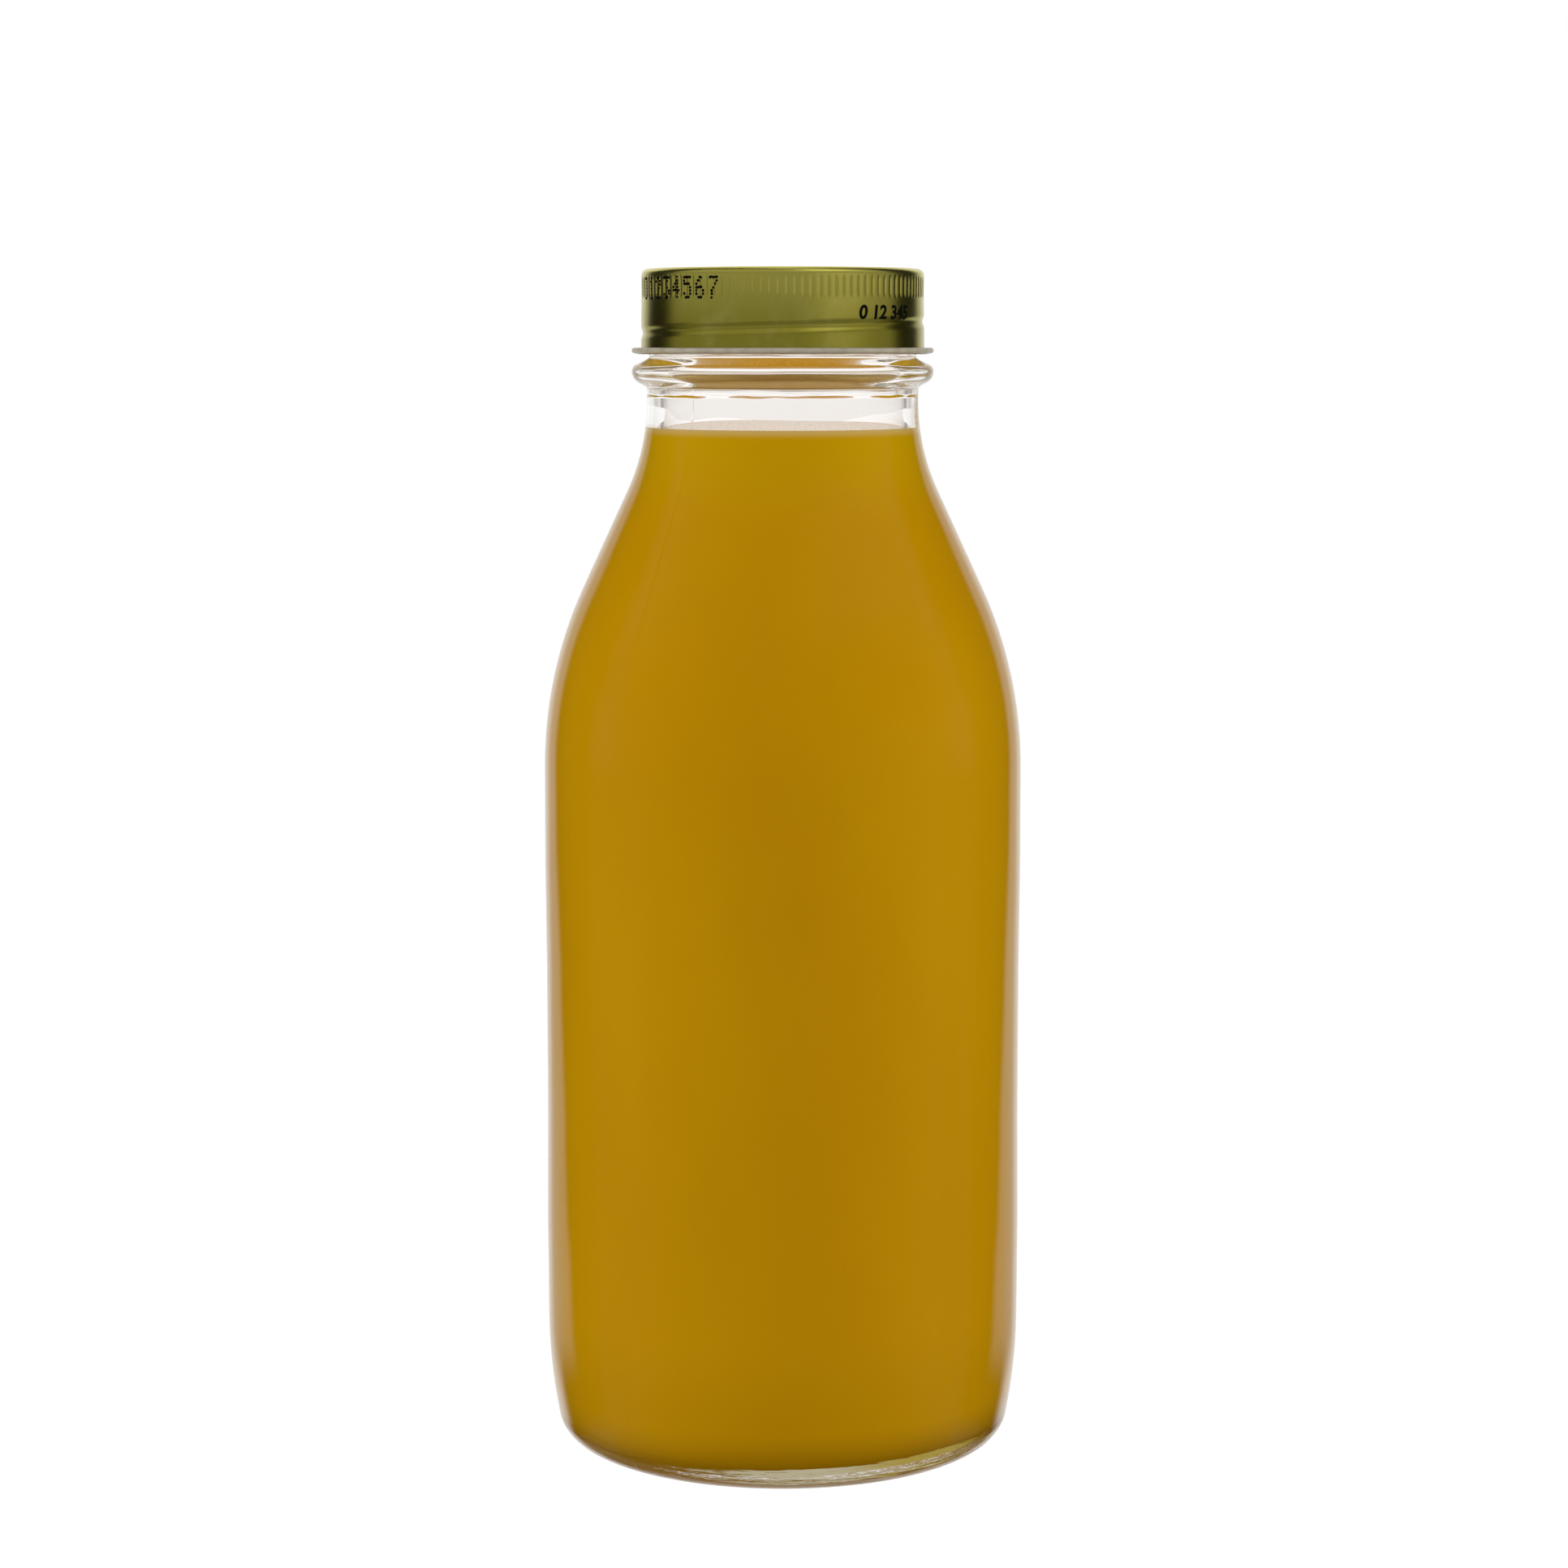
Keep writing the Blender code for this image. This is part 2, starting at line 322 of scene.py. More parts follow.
@dataclass(frozen=True)
class Thread:
    """One turn of a right-hand thread, deepest at a height at the front and fading out at the back."""

    height: float
    half_width: float
    depth: float
    climb: float = 4.8 * MM
    end: float = math.radians(150.0)
    fade: float = math.radians(30.0)

    def lift(self, angle: Array) -> Array:
        """Work out the rise of the thread: the climb's share up to its ends, dropping back between them.

        Args:
            angle: angles from the front, from -pi to pi.

        Returns:
            The rise at each.
        """
        reach = np.minimum(np.abs(angle), self.end)
        back = (np.abs(angle) - reach) / (math.pi - self.end)
        return self.climb * np.copysign(reach, angle) / TAU * (1.0 - back)

    def swell(self, angle: Array, height: Array) -> Array:
        """Work out the radial depth: depth times the squared cosine across the thread, fading at its ends.

        Args:
            angle: angles from the front, from -pi to pi.
            height: heights of the points.

        Returns:
            The depth at each point.
        """
        strength = np.clip((self.end - np.abs(angle)) / self.fade, 0.0, 1.0)
        across = np.clip((height - self.height - self.lift(angle)) / self.half_width, -1.0, 1.0)
        return self.depth * strength * np.cos(across * math.pi / 2.0) ** 2

    def follow(self, angle: Array, height: Array, low: float, high: float) -> Array:
        """Bend level rows so that they lie along the thread.

        Across the thread they rise by its lift, which falls evenly to nothing at the heights low and high.

        Args:
            angle: angles from the front, from -pi to pi.
            height: heights of the level rows.
            low: height below which they stay level.
            high: height above which they stay level.

        Returns:
            The heights of the bent rows.
        """
        below = (height - low) / (self.height - self.half_width - low)
        above = (high - height) / (high - self.height - self.half_width)
        return height + self.lift(angle) * np.clip(np.minimum(below, above), 0.0, 1.0)


@dataclass
class GlassBottle:
    """Clear glass bottle: heel, straight body, long shoulders, neck with a bead, and a threaded mouth."""

    ring_outer: float = 40.0 * MM
    ring_inner: float = 37.6 * MM
    punt_radius: float = 33.0 * MM
    punt_edge: float = 1.9 * MM
    punt_height: float = 3.2 * MM
    heel_fillet: float = 6.5 * MM
    heel_turn: float = math.radians(79.0)
    body: float = 48.5 * MM
    panel: float = 48.32 * MM
    panel_low: float = 68.0 * MM
    panel_high: float = 98.0 * MM
    panel_blend: float = 22.0 * MM
    shoulder: float = 48.4 * MM
    shoulder_height: float = 158.2 * MM
    shoulder_fillet: float = 87.0 * MM
    neck: float = 27.35 * MM
    neck_height: float = 203.6 * MM
    neck_fillet: float = 43.7 * MM
    bead_foot: float = 215.65 * MM
    bead_nose: Corner = (30.4 * MM, 217.3 * MM, 2.6 * MM)
    bead_brow: Corner = (30.4 * MM, 219.8 * MM, 1.5 * MM)
    bead_top: float = 221.5 * MM
    bead_root: float = 0.65 * MM
    mouth: float = 26.9 * MM
    rim: float = 238.65 * MM
    rim_fillet: float = 1.1 * MM
    body_wall: float = 4.0 * MM
    shoulder_wall: float = 3.7 * MM
    neck_wall: float = 2.85 * MM
    step_foot: float = 213.6 * MM
    step_head: float = 214.3 * MM
    step_depth: float = 0.2 * MM
    step_row: float = 0.12 * MM
    step_waver: Ripple = Ripple(depth=0.06 * MM, lobes=30, length=30.0 * MM, seed=17)
    step_change: Ripple = Ripple(depth=0.10 * MM, lobes=16, length=30.0 * MM, seed=31)
    floor_edge: float = 30.0 * MM
    floor_height: float = 4.1 * MM
    floor_rise: float = 1.6 * MM
    floor_fillet: float = 8.0 * MM
    floor_tilt: float = 1.1 * MM
    tilt_end: float = 24.0 * MM
    sag: float = 0.005 * MM
    inner_sag: float = 0.012 * MM
    column_count: int = 290
    seams: tuple[float, float] = (math.radians(-40.0), math.radians(140.0))
    seam_heights: tuple[float, float] = (0.08 * MM, 0.02 * MM)
    seam_width: float = 0.13 * MM
    seam_columns: int = 13
    seam_spread: float = math.radians(1.1)
    inside_row: float = 5.0 * MM
    mouth_row: float = 1.6 * MM
    neck_row: float = 0.8 * MM
    outside_row: float = 4.0 * MM
    even_radius: float = 20.0 * MM
    neck_heights: Range = (150.0 * MM, 200.0 * MM)
    foot_fade: Range = (0.5 * MM, 3.0 * MM)
    thread_gap: float = 0.6 * MM
    thread_margin: float = 2.0 * MM
    ridge: Thread = Thread(height=230.1 * MM, half_width=1.1 * MM, depth=0.85 * MM)
    outer_ripple: Ripple = Ripple(depth=0.012 * MM, lobes=7, length=60.0 * MM, seed=3)
    inner_ripple: Ripple = Ripple(depth=0.10 * MM, lobes=6, length=45.0 * MM, seed=8)

    @property
    def angles(self) -> Array:
        """Angles of the columns, closer together at the mould seams."""
        return columns(self.column_count, self.seams, self.seam_spread, self.seam_columns)

    def inside(self) -> Array:
        """Outline of the inside, from the middle of the floor up to the rim."""
        lean = (self.shoulder - self.neck) / (self.neck_height - self.shoulder_height)
        shift = self.shoulder_wall * math.hypot(1.0, lean)
        body, neck = self.body - self.body_wall, self.neck - self.neck_wall
        corners = [
            (0.0, self.floor_height + self.floor_rise, 0.0),
            (self.floor_edge, self.floor_height, 0.0),
            (body, self.floor_height, self.floor_fillet),
            (body, self.shoulder_height + (self.shoulder - shift - body) / lean,
             self.shoulder_fillet - self.shoulder_wall),
            (neck, self.shoulder_height + (self.shoulder - shift - neck) / lean,
             self.neck_fillet + self.neck_wall),
            (neck, self.step_foot - 4.0 * self.step_row, 0.0),
            (neck, self.step_head + 4.0 * self.step_row, 0.0),
            (neck, self.rim - 2.0 * self.rim_fillet, 0.0),
        ]
        outline = rounded(corners, self.inner_sag)
        return np.vstack((refined(outline[:-3], self.inside_row),
                          refined(outline[-3:-1], self.step_row)[1:],
                          refined(outline[-2:], self.mouth_row)[1:]))

    def outside(self) -> Array:
        """Outline of the rim and the outside, from the inner edge of the rim down to the base's middle."""
        heel_end = self.ring_outer + self.heel_fillet * math.sin(self.heel_turn)
        wall = (self.shoulder - heel_end) / (1.0 - math.sin(self.heel_turn))
        wall_height = self.heel_fillet * (1.0 - math.cos(self.heel_turn)) + wall * math.cos(self.heel_turn)
        down = -math.pi / 2.0
        bore = self.neck - self.neck_wall + self.step_depth
        corners = [
            (bore, self.rim - 2.0 * self.rim_fillet, 0.0),
            (bore, self.rim, self.rim_fillet),
            (self.mouth, self.rim, self.rim_fillet),
            (self.mouth, self.bead_top, self.bead_root),
            self.bead_brow,
            self.bead_nose,
            (self.neck, self.bead_foot, self.bead_root),
            (self.neck, self.neck_height, self.neck_fillet),
            (self.shoulder, self.shoulder_height, self.shoulder_fillet),
            (self.body, self.panel_high + self.panel_blend, 0.0),
            (self.panel, self.panel_high, 0.0),
            (self.panel, self.panel_low, 0.0),
            (self.body, self.panel_low - self.panel_blend, 0.0),
            *arc((self.shoulder - wall, wall_height), wall, 0.0, self.heel_turn + down, self.sag),
            *arc((self.ring_outer, self.heel_fillet), self.heel_fillet, self.heel_turn + down, down,
                 self.sag)[1:],
            (self.ring_inner, 0.0, 0.0),
            (self.punt_radius, self.punt_edge, 0.0),
            (0.0, self.punt_height, 0.0),
        ]
        outline = rounded(corners, self.sag)[1:]
        neck_and_up = outline[:, 1] > self.neck_height
        return np.vstack((refined(outline[neck_and_up], self.neck_row),
                          refined(outline[~neck_and_up], self.outside_row)))

    def inner_relief(self, angle: Array, outline: Array) -> Array:
        """Thickness added on the inside: a ripple that fades out at the middle of the floor, less a step.

        Above the step, where the mouth was pressed before the rest was blown, the bore is wider by
        step_depth. The step's height and depth waver a little round the neck.

        Args:
            angle: angles of the columns.
            outline: the inside's outline.

        Returns:
            The thickness for each point and column.
        """
        along = lengths_along(outline)[:, None]
        ripple = self.inner_ripple.at(angle, along) * smooth_step(outline[:, :1], 0.0, self.even_radius)
        height = outline[:, 1:] - self.step_waver.at(angle, along)
        depth = self.step_depth + self.step_change.at(angle, along)
        return ripple - depth * smooth_step(height, self.step_foot, self.step_head)

    def inner_points(self, angle: Array, bite: float = 0.0) -> tuple[Array, Array]:
        """Radius and height of the inside at each angle.

        The outline moves by its relief along its normals. The floor is thicker on the right: it rises by
        floor_tilt * (radius / the body's) * sin(angle), which fades out up the wall.

        Args:
            angle: angles of the columns.
            bite: how far into the glass the points lie.

        Returns:
            The radii and the heights, without the middle of the floor.
        """
        outline = self.inside()[1:]
        normals, relief = outline_normals(outline), self.inner_relief(angle, outline) - bite
        tilt = self.floor_tilt * outline[:, :1] / self.body * np.sin(angle)
        tilt = tilt * (1.0 - smooth_step(outline[:, 1:], self.floor_height, self.tilt_end))
        return outline[:, :1] + normals[:, :1] * relief, outline[:, 1:] + normals[:, 1:] * relief + tilt

    def outer_relief(self, angle: Array, outline: Array) -> Array:
        """Thickness added on the outside: a ripple moved inwards by twice its depth, and the mould seams.

        The ripple fades out under the base, and both fade out at the resting ring. A seam ends below the
        bead, and across it the thickness is its height times exp(-(distance / seam_width)^2).

        Args:
            angle: angles of the columns.
            outline: the outside's outline.

        Returns:
            The thickness for each point and column.
        """
        radius, height = outline[:, :1], outline[:, 1:]
        away = smooth_step(radius, self.even_radius, self.ring_outer)
        away = np.minimum(away + smooth_step(height, *self.neck_heights), 1.0)
        ripple = self.outer_ripple.at(angle, lengths_along(outline)[:, None]) - 2.0 * self.outer_ripple.depth
        seam = sum(tall * np.exp(-((angle - at) * radius / self.seam_width) ** 2)
                   for at, tall in zip(self.seams, self.seam_heights))
        seam = seam * (1.0 - smooth_step(height, self.step_foot, self.bead_foot))
        return (ripple * away + seam) * smooth_step(height, *self.foot_fade)

    def rings(self) -> Array:
        """Points of the whole skin, from inside the floor over the rim to under the base."""
        angle = self.angles[None]
        outline = self.outside()[:-1]
        normals, relief = outline_normals(outline), self.outer_relief(angle, outline)
        inner_radius, inner_height = self.inner_points(angle)
        radius = outline[:, :1] + normals[:, :1] * relief
        height = outline[:, 1:] + normals[:, 1:] * relief
        foot = self.bead_top + self.thread_gap
        lifted = self.ridge.follow(angle, height, foot, self.rim - self.thread_margin)
        height = np.where(outline[:, 1:] > foot, lifted, height)
        radius = radius + self.ridge.swell(angle, height)
        radius, height = np.vstack((inner_radius, radius)), np.vstack((inner_height, height))
        return turned(radius, height, angle)

    def build(self, finish: "ClearGlass") -> bpy.types.Object:
        """Make the glass and dress it.

        Args:
            finish: finish of the glass.

        Returns:
            The glass's object.
        """
        poles = (self.floor_height + self.floor_rise, self.punt_height)
        thing = piece(closed_skin("bottle_glass", self.rings(), poles), Slot.GLASS, "bottle")
        thing.data.materials.append(finish.material())
        return thing


@dataclass
class JuiceFill:
    """Still juice that fills the glass up to its level, with a raised edge where it wets the wall."""

    glass: GlassBottle
    level: float = 207.3 * MM
    climb: float = 0.05 * MM
    climb_reach: float = 0.3 * MM
    edge_gap: float = 0.2 * MM
    bite: float = 0.03 * MM
    top_rings: int = 14

    def rings(self) -> tuple[Array, int]:
        """Points of the skin from the middle of the top down to the middle of the floor.

        The wall follows the inside of the glass and reaches a little into it. Towards the wall the top
        climbs by climb * exp(-distance to the wall / climb_reach).

        Returns:
            The rings, and how many of them belong to the top.
        """
        angle = self.glass.angles[None]
        inside = self.glass.inside()[1:]
        edge_height = self.level + self.climb
        radius, height = self.glass.inner_points(angle, self.bite)
        wet = inside[:, 1] < edge_height - self.edge_gap
        dry = np.count_nonzero(wet)
        share = (edge_height - inside[dry - 1, 1]) / (inside[dry, 1] - inside[dry - 1, 1])
        edge = radius[dry - 1] + (radius[dry] - radius[dry - 1]) * share
        share_out = np.sin(np.linspace(0.0, 0.5, self.top_rings + 1)[1:, None] * math.pi)
        top_radius = edge[None] * share_out
        rise = self.climb * np.exp(-(edge[None] - top_radius) / self.climb_reach)
        radius = np.vstack((top_radius, radius[wet][::-1]))
        height = np.vstack((self.level + rise, height[wet][::-1]))
        return turned(radius, height, angle), self.top_rings

    def build(self, wet: "WetJuice", top: "JuiceTop") -> bpy.types.Object:
        """Make the juice and dress it.

        Args:
            wet: finish of the side that wets the glass.
            top: finish of the free top.

        Returns:
            The juice's object.
        """
        rings, top_rings = self.rings()
        floor = self.glass.floor_height + self.glass.floor_rise - self.bite
        mesh = closed_skin("juice_fill", rings, (self.level, floor))
        thing = piece(mesh, Slot.JUICE, "juice")
        wide, faces = rings.shape[1], len(mesh.polygons)
        order = np.arange(faces)
        on_top = (order < (top_rings - 1) * wide) | ((order >= faces - 2 * wide) & (order < faces - wide))
        dress(mesh, on_top, wet.material(), top.material())
        return thing


@dataclass
class ScrewLid:
    """Lid pressed from thin sheet: recessed panel, ribs, pressed thread, and an edge curled outwards."""

    sheet: float = 0.25 * MM
    top: float = 239.2 * MM
    radius: float = 28.35 * MM
    foot_radius: float = 28.5 * MM
    fillet: float = 1.3 * MM
    panel_step: float = 0.6 * MM
    panel_radius: float = 23.4 * MM
    panel_fillet: float = 0.35 * MM
    rib_count: int = 108
    rib_top: float = 237.5 * MM
    rib_foot: float = 233.5 * MM
    rib_fade: float = 0.7 * MM
    rib_depth: float = 0.19 * MM
    rib_round: float = 4.0
    rib_columns: tuple[float, ...] = (-0.5, -0.26, -0.13, -0.06, 0.0, 0.06, 0.13, 0.26)
    rib_rows: int = 15
    rib_gap: float = 1.0 * MM
    upper_rows: tuple[float, ...] = (232.6 * MM, 231.2 * MM, 230.0 * MM)
    groove_rows: int = 13
    lower_rows: tuple[float, ...] = (225.2 * MM, 224.4 * MM, 223.7 * MM)
    panel_row: float = 7.0 * MM
    slack: float = 0.01 * MM
    fine_rings: int = 24
    ring_step: int = 4
    curl_foot: float = 222.45 * MM
    curl_rise: float = 0.3 * MM
    curl_top: float = 223.3 * MM
    curl_tip: float = 30.1 * MM
    curl_fillet: float = 0.26 * MM
    curl_end: float = 28.95 * MM
    sag: float = 0.006 * MM
    groove: Thread = Thread(height=227.6 * MM, half_width=1.45 * MM, depth=-0.34 * MM)
    ripple: Ripple = Ripple(depth=0.012 * MM, lobes=14, length=14.0 * MM, seed=21)

    @property
    def angles(self) -> Array:
        """Angles of the columns, the same few for each rib."""
        pitch = TAU / self.rib_count
        starts = -math.pi + pitch * (np.arange(self.rib_count) + 0.5)
        return (starts[:, None] + pitch * np.array(self.rib_columns)).ravel()

    def skirt(self, angle: Array, height: Array) -> Array:
        """Radius of the lacquered skirt at an angle and a height.

        It widens evenly from the rib's foot to the curl. The ribs drop by depth * share^4 towards the crease
        between two of them, where share is the part of the way from a rib's middle to the crease. The
        thread's groove is cut below them, and a faint ripple, which fades out upwards, runs over all.

        Args:
            angle: angles round the lid.
            height: heights of the points.

        Returns:
            The radii.
        """
        share = np.clip((self.rib_foot - height) / (self.rib_foot - self.curl_top), 0.0, 1.0)
        plain = self.radius + (self.foot_radius - self.radius) * share
        pitch = TAU / self.rib_count
        share_out = 1.0 - np.abs(np.mod(angle + math.pi, pitch) / pitch - 0.5) * 2.0
        fade = self.rib_fade
        band = smooth_step(height, self.rib_foot - fade / 2.0, self.rib_foot + fade)
        band = band * (1.0 - smooth_step(height, self.rib_top - fade, self.rib_top + fade / 2.0))
        ribs = self.rib_depth * share_out ** self.rib_round * band
        ripple = self.ripple.at(angle, height) - 2.0 * self.ripple.depth
        ripple = ripple * (1.0 - smooth_step(height, self.rib_foot, self.top - self.fillet))
        return plain - ribs + self.groove.swell(angle, height) + ripple

    def outline(self) -> Array:
        """Outline of the lacquered side, from the middle of the top panel to the end of the curl."""
        fade = self.rib_fade / 2.0
        rib_rows = np.linspace(self.rib_top + fade, self.rib_foot - fade, self.rib_rows)
        groove_rows = self.groove.height + self.groove.half_width * np.linspace(1.0, -1.0, self.groove_rows)
        skirt = [*rib_rows, *self.upper_rows, *groove_rows, *self.lower_rows]
        corners = [
            (0.0, self.top - self.panel_step, 0.0),
            (self.panel_radius - self.panel_step, self.top - self.panel_step, self.panel_fillet),
            (self.panel_radius, self.top, self.panel_fillet),
            (self.radius, self.top, self.fillet),
            *[(self.radius, height, 0.0) for height in skirt],
            (self.foot_radius, self.curl_foot, self.curl_fillet),
            (self.curl_tip, self.curl_foot + self.curl_rise, self.curl_fillet),
            (self.curl_tip, self.curl_top, self.curl_fillet),
            (self.curl_end, self.curl_top, 0.0),
        ]
        return refined(rounded(corners, self.sag), self.panel_row)

    def rings(self) -> tuple[Array, int]:
        """Points of the closed sheet: down the lacquered side to the curl's end, and back inside.

        The inside is the lacquered side moved by the sheet's thickness against its normals, which are
        the cross product of the steps down and round the grid. After its first fine_rings it keeps one ring
        in each ring_step.

        Returns:
            The rings, and how many of them are lacquered.
        """
        angle = self.angles[None]
        outline = self.outline()[1:]
        radius = np.repeat(outline[:, :1], angle.size, axis=1)
        height = np.repeat(outline[:, 1:], angle.size, axis=1)
        on_skirt = (outline[:, 0] > self.radius - self.slack) & (outline[:, 0] < self.foot_radius)
        on_skirt &= (outline[:, 1] < self.top - self.fillet + self.slack) & (outline[:, 1] > self.curl_top)
        followed = self.groove.follow(angle, height, self.curl_top, self.rib_foot - self.rib_gap)
        height = np.where(on_skirt[:, None], followed, height)
        radius = np.where(on_skirt[:, None], self.skirt(angle, height), radius)
        outer = turned(radius, height, angle)
        down = np.gradient(outer, axis=0)
        around = np.roll(outer, -1, axis=1) - np.roll(outer, 1, axis=1)
        normals = np.cross(down, around)
        normals /= np.linalg.norm(normals, axis=2, keepdims=True)
        inner = (outer - self.sheet * normals)[::-1]
        inner = np.concatenate((inner[:self.fine_rings], inner[self.fine_rings::self.ring_step]))
        return np.concatenate((outer, inner)), len(outer)

    def build(self, lacquer: "Lacquer", enamel: "Enamel") -> bpy.types.Object:
        """Make the lid and dress it.

        Args:
            lacquer: finish of the outside.
            enamel: finish of the curl's end and the inside.

        Returns:
            The lid's object.
        """
        rings, lacquered = self.rings()
        panel = self.top - self.panel_step
        mesh = closed_skin("lid_sheet", rings, (panel, panel - self.sheet))
        thing = piece(mesh, Slot.LACQUER, "lid")
        wide, faces = rings.shape[1], len(mesh.polygons)
        order = np.arange(faces)
        inside = (order >= (lacquered - 1) * wide) & (order < faces - 2 * wide) | (order >= faces - wide)
        dress(mesh, inside, lacquer.material(), enamel.material())
        return thing


@dataclass
class DotCode:
    """Row of plain numbers that a jet has dotted across the lid's ribs."""

    lid: ScrewLid
    text: str = "01234567"
    first: float = math.radians(-73.0)
    last: float = math.radians(-28.4)
    top: float = 237.2 * MM
    row_pitch: float = 0.64 * MM
    column_pitch: float = 0.39 * MM
    dot: float = 0.30 * MM
    waver: float = 0.07 * MM
    proud: float = 0.015 * MM
    sunk: float = 0.03 * MM
    ring_spreads: tuple[float, ...] = (0.0, 0.75, 1.0, 0.9, 0.0)
    shoulder: float = 0.8
    size_swing: float = 0.08
    size_turn: float = 7.0
    sides: int = 10
    seed: int = 5

    DIGITS = {
        "0": ".###. #...# #...# #...# #...# #...# .###.",
        "1": "..#.. .##.. ..#.. ..#.. ..#.. ..#.. .###.",
        "2": ".###. #...# ....# ...#. ..#.. .#... #####",
        "3": "##### ...#. ..#.. ...#. ....# #...# .###.",
        "4": "...#. ..##. .#.#. #..#. ##### ...#. ...#.",
        "5": "##### #.... ####. ....# ....# #...# .###.",
        "6": "..##. .#... #.... ####. #...# #...# .###.",
        "7": "##### ....# ...#. ..#.. .#... .#... .#...",
    }

    def centres(self) -> tuple[Array, Array]:
        """Angles and heights of the dots, each a little off its place in its number's grid."""
        draw = np.random.default_rng(self.seed)
        angles, heights = [], []
        for middle, digit in zip(np.linspace(self.first, self.last, len(self.text)), self.text):
            grid = np.array([list(row) for row in self.DIGITS[digit].split()]) == "#"
            rows, places = np.nonzero(grid)
            drop = draw.normal(0.0, self.waver)
            angles.append(middle + (places - 2.0) * self.column_pitch / self.lid.radius)
            heights.append(self.top - rows * self.row_pitch + drop)
        angles, heights = np.concatenate(angles), np.concatenate(heights)
        angles = angles + draw.normal(0.0, self.waver / 2.0, len(angles)) / self.lid.radius
        return angles, heights + draw.normal(0.0, self.waver / 2.0, len(heights))

    def build(self, ink: "Ink") -> bpy.types.Object:
        """Make the dots and dress them.

        A dot is a flat drop of rings about its centre, whose points follow the lid's surface: the radius is
        the skirt's plus the ring's lift.

        Args:
            ink: finish of the dots.

        Returns:
            The dots' object.
        """
        angles, heights = self.centres()
        around = TAU * np.arange(self.sides) / self.sides
        spread = self.dot * np.array(self.ring_spreads)[:, None]
        lift = np.array((self.proud, self.shoulder * self.proud, 0.0, -self.sunk, -self.sunk))[:, None]
        size = 1.0 + self.size_swing * np.sin(self.size_turn * angles / self.dot)[:, None, None]
        angle = angles[:, None, None] + size * spread * np.cos(around) / self.lid.radius
        height = heights[:, None, None] + size * spread * np.sin(around)
        points = turned(self.lid.skirt(angle, height) + lift, height, angle)
        count = len(angles)
        middles = (points[:, 0, :1], points[:, 4, :1])
        drops = np.concatenate((points[:, 1:4].reshape(count, -1, 3), *middles), axis=1)
        quads, caps = skin_faces(3, self.sides)
        shift = drops.shape[1] * np.arange(count)[:, None, None]
        sides, ends = (quads + shift).reshape(-1, 4), (caps + shift).reshape(-1, 3)
        mesh = bpy.data.meshes.new("dot_code")
        mesh.from_pydata(drops.reshape(-1, 3), [], sides.tolist() + ends.tolist())
        mesh.shade_smooth()
        mesh.materials.append(ink.material())
        return piece(mesh, Slot.LACQUER)


@dataclass
class PrintedMark:
    """Small row of plain numbers printed on the lid's skirt."""

    lid: ScrewLid
    text: str = "0 12 345"
    middle: float = math.radians(45.9)
    foot: float = 229.2 * MM
    size: float = 3.7 * MM
    length: float = 14.1 * MM
    slant: float = 0.12
    heavier: float = 0.035
    proud: float = 0.02 * MM
    sunk: float = 0.04 * MM
    finest: float = 0.35 * MM
    thickness: float = 2.0 * MM
    curve_steps: int = 4
    merge: float = 0.01 * MM

    def build(self, ink: "Ink") -> bpy.types.Object:
        """Make the numbers from a text object's mesh, cut fine, and wrap them round the lid.

        Each point goes to the angle of its place along the text, the height of its place up it, and the
        skirt's radius plus the lift of its side.

        Args:
            ink: finish of the numbers.

        Returns:
            The numbers' object.
        """
        curve = bpy.data.curves.new("numbers", "FONT")
        curve.body = self.text
        curve.size, curve.shear, curve.offset = self.size, self.slant, self.heavier * self.size
        curve.extrude = self.thickness / 2.0
        curve.resolution_u = self.curve_steps
        thing = linked("numbers", curve)
        flat = bpy.data.meshes.new_from_object(thing.evaluated_get(bpy.context.evaluated_depsgraph_get()))
        bpy.data.objects.remove(thing)
        mesh = bpy.data.meshes.new("printed_numbers")
        shell = bmesh.new()
        shell.from_mesh(flat)
        bmesh.ops.remove_doubles(shell, verts=shell.verts, dist=self.merge)
        for axis, reach in ((0, self.length), (1, self.size)):
            for cut in np.arange(0.0, reach, self.finest):
                across = [0.0, 0.0, 0.0]
                across[axis] = 1.0
                bmesh.ops.bisect_plane(shell, geom=[*shell.verts, *shell.edges, *shell.faces],
                                       plane_co=[cut * share for share in across], plane_no=across)
        shell.to_mesh(mesh)
        shell.free()
        points = np.empty(len(mesh.vertices) * 3)
        mesh.vertices.foreach_get("co", points)
        along, up, out = points.reshape(-1, 3).T
        wide = along.max() - along.min()
        angle = self.middle + ((along - along.min()) / wide - 0.5) * self.length / self.lid.radius
        height = self.foot + up
        radius = self.lid.skirt(angle, height) + np.where(out > 0.0, self.proud, -self.sunk)
        mesh.vertices.foreach_set("co", turned(radius, height, angle).ravel())
        mesh.materials.append(ink.material())
        return piece(mesh, Slot.LACQUER)


